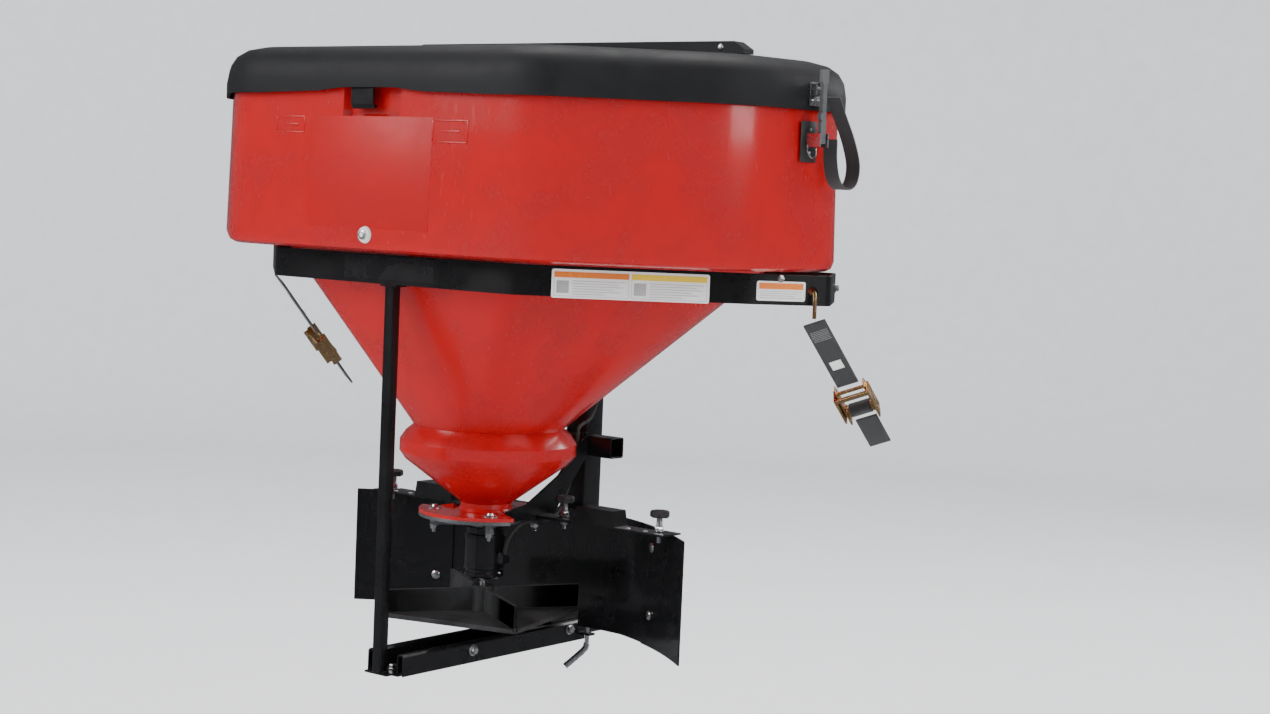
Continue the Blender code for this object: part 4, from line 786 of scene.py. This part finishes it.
def latch_details():
    """Backing plates, rivets and wire rings of the side latches, and the ribs of their rubber straps."""
    rivets, plates, rings = bmesh.new(), bmesh.new(), bmesh.new()
    for sign, side in ((-1, "left"), (1, "right")):
        place, out, run = side_face(sign)
        for z in (0.9165, 0.9535):
            add_dome(rivets, aim(DATUM + place + Vector((0, 0, z)) + out * 0.0036, out), 0.0030, 0.0014)
        add_slab(plates, aim(DATUM + place + Vector((0, 0, 0.9345)) + out * 0.00035, out),
                 (0.038, 0.066, 0.0006), 0.0003)
        half = 0.0105
        bow = [math.radians(180 + 9 * i) for i in range(21)]
        loop = [(-half, 0.010)] + [(half * math.cos(t), 0.012 * math.sin(t)) for t in bow] + [(half, 0.010)]
        origin = DATUM + place + Vector((0, 0, 0.920)) + out * 0.0050
        add_tube(rings, [origin + run * a + Vector((0, 0, b)) + out * (0.003 - 0.25 * min(b, 0.0))
                         for a, b in loop], 0.0012, 10)
        ribs = bmesh.new()
        for z in (0.984, 0.990, 0.996, 1.002):
            add_slab(ribs, aim(DATUM + place + Vector((0, 0, z)) + out * 0.0312, out),
                     (0.0086, 0.0022, 0.0012), 0.0005)
        piece("latch_strap_ribs_" + side, ribs, "rubber", "strap_" + side)
        lid_rivets = bmesh.new()
        for along in (-0.0070, 0.0070):
            spot = DATUM + place + run * along + Vector((0, 0, 1.0005)) + out * 0.0100
            add_dome(lid_rivets, aim(spot, out), 0.0026, 0.0012)
        piece("latch_bracket_rivets_" + side, lid_rivets, "zinc", "lid")
    piece("latch_keeper_rivets", rivets, "zinc", "frame")
    piece("latch_backing_plates", plates, "knob_poly", "frame")
    piece("latch_wire_rings", rings, "zinc", "frame")


def lid_details():
    """Bolts of the lid's bar and hinges, and the rivets of its rear latch."""
    bm = bmesh.new()
    for x in (-0.34, 0.34):
        add_dome(bm, aim(at(x, 0.4400, 1.0995), (0, -1, 0)), 0.0060, 0.0026)
    piece("lid_bar_bolts", bm, "zinc", "lid")
    bm = bmesh.new()
    for x in (-0.034, -0.001):
        add_dome(bm, aim(at(x, -0.0722, 1.0020), (0, -1, 0)), 0.0028, 0.0012)
    piece("lid_latch_rivets", bm, "coat", "lid")


# ---- deflector ----
def shield_point(x, z, out=0.0):
    """A point on the shield's rear face and the direction out of that face."""
    past = max(0.0, abs(x) - SHIELD_FLAT)
    y = 0.466 - 0.30 * past - 1.05 * past * past
    slope = -(0.30 + 2.1 * past) * (1 if x > 0 else -1) if past else 0.0
    normal = Vector((slope, -1.0, 0.0)).normalized()
    return at(x, y, z) + normal * out, normal


def deflector_hardware():
    """Round-headed bolts that hold the shield's wings, with their nuts outside, and bolts on the hangers."""
    bm = bmesh.new()
    for sign in (-1, 1):
        for z in (0.213, 0.091):
            place, normal = shield_point(sign * 0.262, z, 0.0062)
            add_dome(bm, aim(place, normal), 0.0088, 0.0036)
            place, normal = shield_point(sign * 0.262, z, -0.0018)
            add_bolt(bm, aim(place, -normal), 0.0110, 0.0088, 0.003)
        for x in (0.262, 0.300):
            add_dome(bm, aim(at(sign * x, 0.338, 0.2550), (0, 0, 1)), 0.0042, 0.0018)
    piece("shield_bolts", bm, "zinc", "deflector")
    for name, x in (("inner_left", -0.106), ("inner_right", 0.106), ("outer_left", -0.320),
                    ("outer_right", 0.320)):
        bm = bmesh.new()
        stud = aim(at(x, 0.352, KNOB_BASE + 0.0102), (0, 0, 1), (0, 1, 0))
        profile = [(0.0050, 0.0)]
        for i in range(9):
            profile += [(0.0057, 0.0004 + i * 0.0013), (0.0051, 0.0010 + i * 0.0013)]
        add_turned(bm, profile + [(0.0050, 0.0126)], stud, 20)
        add_hex(bm, aim(at(x, 0.352, KNOB_BASE + 0.0021), (0, 0, 1), (0, 1, 0)), 0.0142, 0.0066)
        piece("knob_stud_" + name, bm, "zinc", "knob_" + name)


# ---- tie-downs ----
def tie_axes(sign):
    start = Vector((sign * 0.63287, 0.32878, 0.6425))
    run = Vector((sign * 0.03, 0.71, -0.70)).normalized()
    across = Vector((0.886, sign * 0.312, sign * 0.357))
    across = (across - run * across.dot(run)).normalized()
    return start, run, across, run.cross(across) * sign


def tiedown_details():
    """Stitching, the webbing wound on the spool, the ratchet's toothed wheels and a plain tag."""
    for sign, side in ((-1, "left"), (1, "right")):
        start, run, across, out = tie_axes(sign)
        spool = DATUM + start + run * TIE_SPOOL
        turn = Matrix.Translation(spool) @ Matrix((run, out, across)).transposed().to_4x4()
        bm = bmesh.new()
        for layer in range(4):
            radius = 0.0072 + 0.0013 * layer
            points = []
            for i in range(27):
                t, r = 2 * math.pi * i / 24 + layer * 0.7, radius + 0.0009 * i / 24
                points.append(turn @ Vector((r * math.cos(t), r * math.sin(t), 0)))
            add_ribbon(bm, points, 0.0360, 0.0013, across)
        piece("tiedown_webbing_roll_" + side, bm, "webbing", "frame")
        wheels = bmesh.new()
        for end in (-1, 1):
            profile = []
            for i in range(24):
                radius = 0.0118 if i % 2 else 0.0096
                t = 2 * math.pi * i / 24
                profile.append((radius * math.cos(t), radius * math.sin(t)))
            z = end * 0.0218
            add_rings(wheels, [[turn @ Vector((x, y, z + dz)) for x, y in profile]
                               for dz in (-0.0009, 0.0009)])
            for along in (TIE_BAR, TIE_SPOOL):
                place = DATUM + start + run * along + across * end * 0.0265
                add_dome(wheels, aim(place, across * end, run), 0.0058, 0.0014)
        piece("ratchet_wheels_" + side, wheels, "gold", "frame")
        thread = bmesh.new()
        for row in range(7):
            place = DATUM + start + run * (0.018 + 0.0035 * row)
            for face in (-1, 1):
                path = [place + across * (-0.0150 + 0.0020 * i) + out * face * 0.0021
                        + run * (0.0012 * (i % 2)) for i in range(16)]
                add_tube(thread, path, 0.00038, 6)
        piece("tiedown_stitching_" + side, thread, "label_grey", "frame")
        tag = bmesh.new()
        place = DATUM + start + run * 0.090
        wave = [place + run * (0.0016 * i) + out * (0.0026 + 0.0006 * math.sin(i * 0.5)) for i in range(13)]
        add_ribbon(tag, wave, 0.0205, 0.0006, across)
        piece("tiedown_tag_" + side, tag, "label_white", "frame")


# ---- stage ----
def add_area(name, place, target, size, power):
    light = bpy.data.lights.new(name, "AREA")
    light.shape = "RECTANGLE"
    light.size, light.size_y = size
    light.energy = power
    obj = bpy.data.objects.new(name, light)
    obj.location = place
    obj.rotation_euler = (Vector(target) - Vector(place)).to_track_quat("-Z", "Y").to_euler()
    obj.visible_camera = False
    bpy.context.scene.collection.objects.link(obj)


def dim_in_reflections(paint):
    """Lets glossy things mirror a dark room and the lamps, while the backdrop itself stays pale."""
    tree = paint.node_tree
    colour = tree.nodes["Principled BSDF"].inputs["Base Color"]
    path = tree.nodes.new("ShaderNodeLightPath")
    shown = colour_mix(tree, colour.links[0].from_socket, (0.10, 0.10, 0.105), path.outputs["Is Glossy Ray"])
    tree.links.new(shown, colour)


def add_backdrop(floor_drop):
    """A pale round wall that curves up out of the floor."""
    bm = bmesh.new()
    radius, curve, wall, sides = 8.5, 2.0, 7.0, 72
    profile = [(0.001, 0.0), (2.0, 0.0), (4.5, 0.0), (radius - curve, 0.0)]
    profile += [(radius - curve + curve * math.sin(math.radians(a)),
                 curve - curve * math.cos(math.radians(a))) for a in range(10, 91, 10)]
    profile.append((radius, wall))
    rows = []
    for r, z in profile:
        turns = [2 * math.pi * i / sides for i in range(sides)]
        rows.append([bm.verts.new((r * math.cos(t), r * math.sin(t) - 0.5, z - floor_drop)) for t in turns])
    for low, high in zip(rows, rows[1:]):
        for i in range(sides):
            j = (i + 1) % sides
            bm.faces.new((low[i], high[i], high[j], low[j]))
    mesh = bpy.data.meshes.new("backdrop")
    bmesh.ops.recalc_face_normals(bm, faces=bm.faces[:])
    bm.to_mesh(mesh)
    bm.free()
    mesh.shade_smooth()
    obj = bpy.data.objects.new("backdrop", mesh)
    bpy.context.scene.collection.objects.link(obj)
    paint = make_finish("pale_backdrop", surface_group, skin(60.0, 0.6, 0.7), (0.93, 0.935, 0.94),
                        (0.90, 0.905, 0.91), (0.55, 0.70), (0.05, 0.002), (0.88, 0.88, 0.88), 0.1)
    dim_in_reflections(paint)
    mesh.materials.append(paint)


def add_world(level):
    """Even room light, much weaker in reflections."""
    world = bpy.data.worlds.new("studio")
    world.use_nodes = True
    tree = world.node_tree
    shown = [tree.nodes["Background"], tree.nodes.new("ShaderNodeBackground")]
    for back, strength in zip(shown, (0.85, 0.10)):
        back.inputs["Color"].default_value = (0.90, 0.93, 1.0, 1.0)
        back.inputs["Strength"].default_value = strength * level
    path = tree.nodes.new("ShaderNodeLightPath")
    mix = tree.nodes.new("ShaderNodeMixShader")
    tree.links.new(path.outputs["Is Glossy Ray"], mix.inputs[0])
    for socket, back in zip(mix.inputs[1:], shown):
        tree.links.new(back.outputs[0], socket)
    tree.links.new(mix.outputs[0], tree.nodes["World Output"].inputs["Surface"])
    bpy.context.scene.world = world


def add_camera(stage):
    """The camera, from how far it is turned, dipped and rolled."""
    turn, dip, roll = (math.radians(a) for a in (stage.camera_turn, stage.camera_dip, stage.camera_roll))
    ahead = Vector((-math.sin(turn) * math.cos(dip), math.cos(turn) * math.cos(dip), -math.sin(dip)))
    level = Vector((math.cos(turn), math.sin(turn), 0.0))
    above = level.cross(ahead)
    right = level * math.cos(roll) + above * math.sin(roll)
    up = above * math.cos(roll) - level * math.sin(roll)
    camera = bpy.data.cameras.new("view")
    camera.lens = stage.camera_lens
    camera.sensor_width = 36.0
    camera.clip_end = 60.0
    eye = bpy.data.objects.new("view", camera)
    facing = Matrix((right, up, -ahead)).transposed().to_4x4()
    eye.matrix_world = Matrix.Translation(Vector(stage.camera_place)) @ facing
    bpy.context.scene.collection.objects.link(eye)
    bpy.context.scene.camera = eye


def set_stage():
    """A pale round backdrop with a floor, soft lamps and the camera."""
    stage = bpy.context.scene.spreader_stage
    add_backdrop(stage.floor_drop)
    middle = (0.0, -0.45, 0.55)
    for name, place, size, power in (("key", (-2.6, -5.2, 3.4), (3.6, 2.6), 300.0),
                                     ("side", (4.6, -1.0, 2.4), (2.2, 3.0), 90.0),
                                     ("top", (-0.4, 0.6, 4.6), (4.0, 3.0), 190.0),
                                     ("rim", (2.4, 4.2, 2.6), (3.0, 1.6), 120.0)):
        add_area(name, place, middle, size, power * stage.light_level)
    add_world(stage.light_level)
    add_camera(stage)


# ---- add-on ----
def colour_prop(name, description, default):
    return FloatVectorProperty(name=name, description=description, subtype="COLOR", size=3, min=0.0, max=1.0,
                               default=default)


def length_prop(name, description, default, low, high):
    return FloatProperty(name=name, description=description, default=default, min=low, max=high,
                         unit="LENGTH", subtype="DISTANCE")


class SpreaderFinish(bpy.types.PropertyGroup):
    """Main colours of the finishes."""
    hopper_red: colour_prop("Hopper red", "Colour of the moulded hopper", (0.42, 0.0040, 0.0055))
    lid_black: colour_prop("Lid black", "Colour of the textured lid", (0.011, 0.011, 0.012))
    coat_black: colour_prop("Coat black", "Colour of the powder-coated steel", (0.0045, 0.0045, 0.005))
    zinc: colour_prop("Zinc", "Colour of bright zinc plate", (0.70, 0.71, 0.73))
    yellow_zinc: colour_prop("Yellow zinc", "Colour of yellow chromate plate", (0.72, 0.50, 0.20))
    hopper_gloss: FloatProperty(name="Hopper gloss", description="Weight of the hopper's clear skin",
                                default=0.35, min=0.0, max=1.0, subtype="FACTOR")


class SpreaderSizes(bpy.types.PropertyGroup):
    """Sizes of the added hardware."""
    bolt_across: length_prop("Bolt head", "Width across flats of the frame's bolts", 0.013, 0.004, 0.03)
    weld_radius: length_prop("Weld bead", "Radius of the weld beads", 0.0019, 0.0005, 0.006)
    label_thickness: length_prop("Label film", "Thickness of a label's film", 0.00025, 0.0001, 0.001)
    node_edge: length_prop("Edge radius", "Rounding of a node's hard edges", 0.0004, 0.0, 0.003)


class SpreaderStage(bpy.types.PropertyGroup):
    """Backdrop, lamps and camera."""
    floor_drop: length_prop("Floor drop", "Height of the hitch above the floor", 0.46, 0.1, 2.0)
    light_level: FloatProperty(name="Light level", description="Brightness of every lamp", default=1.0,
                               min=0.0, max=10.0)
    camera_lens: FloatProperty(name="Lens", description="Focal length in millimetres", default=61.34,
                               min=10.0, max=300.0)
    camera_turn: FloatProperty(name="Turn", description="Degrees turned to the left", default=37.61)
    camera_dip: FloatProperty(name="Dip", description="Degrees the camera looks down", default=4.26)
    camera_roll: FloatProperty(name="Roll", description="Degrees the camera is rolled", default=2.50)
    camera_place: FloatVectorProperty(name="Place", description="Where the camera stands", size=3,
                                      unit="LENGTH", subtype="TRANSLATION",
                                      default=(2.553, -3.437, 0.806))


def operator(idname, label, about, action):
    """Makes one operator class that runs a builder."""
    def execute(self, context):
        action()
        return {"FINISHED"}
    members = {"bl_idname": "spreader." + idname, "bl_label": label, "__doc__": about, "execute": execute}
    return type("SPREADER_OT_" + idname, (bpy.types.Operator,), members)


OPERATORS = [
    operator("finish_nodes", "Finish the packed parts", "Gives every packed part its finish and soft edges",
             finish_nodes),
    operator("hopper_details", "Hopper details", "Adds the moulded marks, blank panel and plug bolt",
             hopper_details),
    operator("band_labels", "Band labels", "Adds the blank plate and the plain labels on the frame band",
             band_labels),
    operator("frame_hardware", "Frame hardware", "Adds the weld beads and bolts of the frame",
             frame_hardware),
    operator("chute_hardware", "Chute hardware", "Adds the chute's front bolts, washers and nuts",
             chute_hardware),
    operator("motor_details", "Motor details", "Adds the motor's rims, bolts and cable ties", motor_details),
    operator("latch_details", "Latch details", "Adds the latch plates, rivets, rings and ribs",
             latch_details),
    operator("lid_details", "Lid details", "Adds the bolts and rivets of the lid", lid_details),
    operator("deflector_hardware", "Deflector hardware",
             "Adds the shield bolts and the knobs' studs and nuts", deflector_hardware),
    operator("tiedown_details", "Tie-down details",
             "Adds the wound webbing, ratchet wheels, stitching and tags", tiedown_details),
    operator("set_stage", "Stage", "Adds the backdrop, lamps and camera", set_stage),
]


class SPREADER_PT_panel(bpy.types.Panel):
    """Lists the builders in the sidebar."""
    bl_idname = "SPREADER_PT_panel"
    bl_label = "Spreader"
    bl_space_type = "VIEW_3D"
    bl_region_type = "UI"
    bl_category = "Spreader"

    def draw(self, context):
        for group in (context.scene.spreader_finish, context.scene.spreader_sizes,
                      context.scene.spreader_stage):
            box = self.layout.box()
            for name in group.__annotations__:
                box.prop(group, name)
        for item in OPERATORS:
            self.layout.operator(item.bl_idname)


CLASSES = [SpreaderFinish, SpreaderSizes, SpreaderStage, *OPERATORS, SPREADER_PT_panel]


def register():
    for item in CLASSES:
        bpy.utils.register_class(item)
    bpy.types.Scene.spreader_finish = PointerProperty(type=SpreaderFinish)
    bpy.types.Scene.spreader_sizes = PointerProperty(type=SpreaderSizes)
    bpy.types.Scene.spreader_stage = PointerProperty(type=SpreaderStage)


def unregister():
    for name in ("spreader_finish", "spreader_sizes", "spreader_stage"):
        delattr(bpy.types.Scene, name)
    for item in reversed(CLASSES):
        bpy.utils.unregister_class(item)


def main():
    register()
    FINISHES.update(finish_table())
    for item in OPERATORS:
        getattr(bpy.ops.spreader, item.bl_idname.split(".")[1])()


if __name__ == "__main__":
    main()
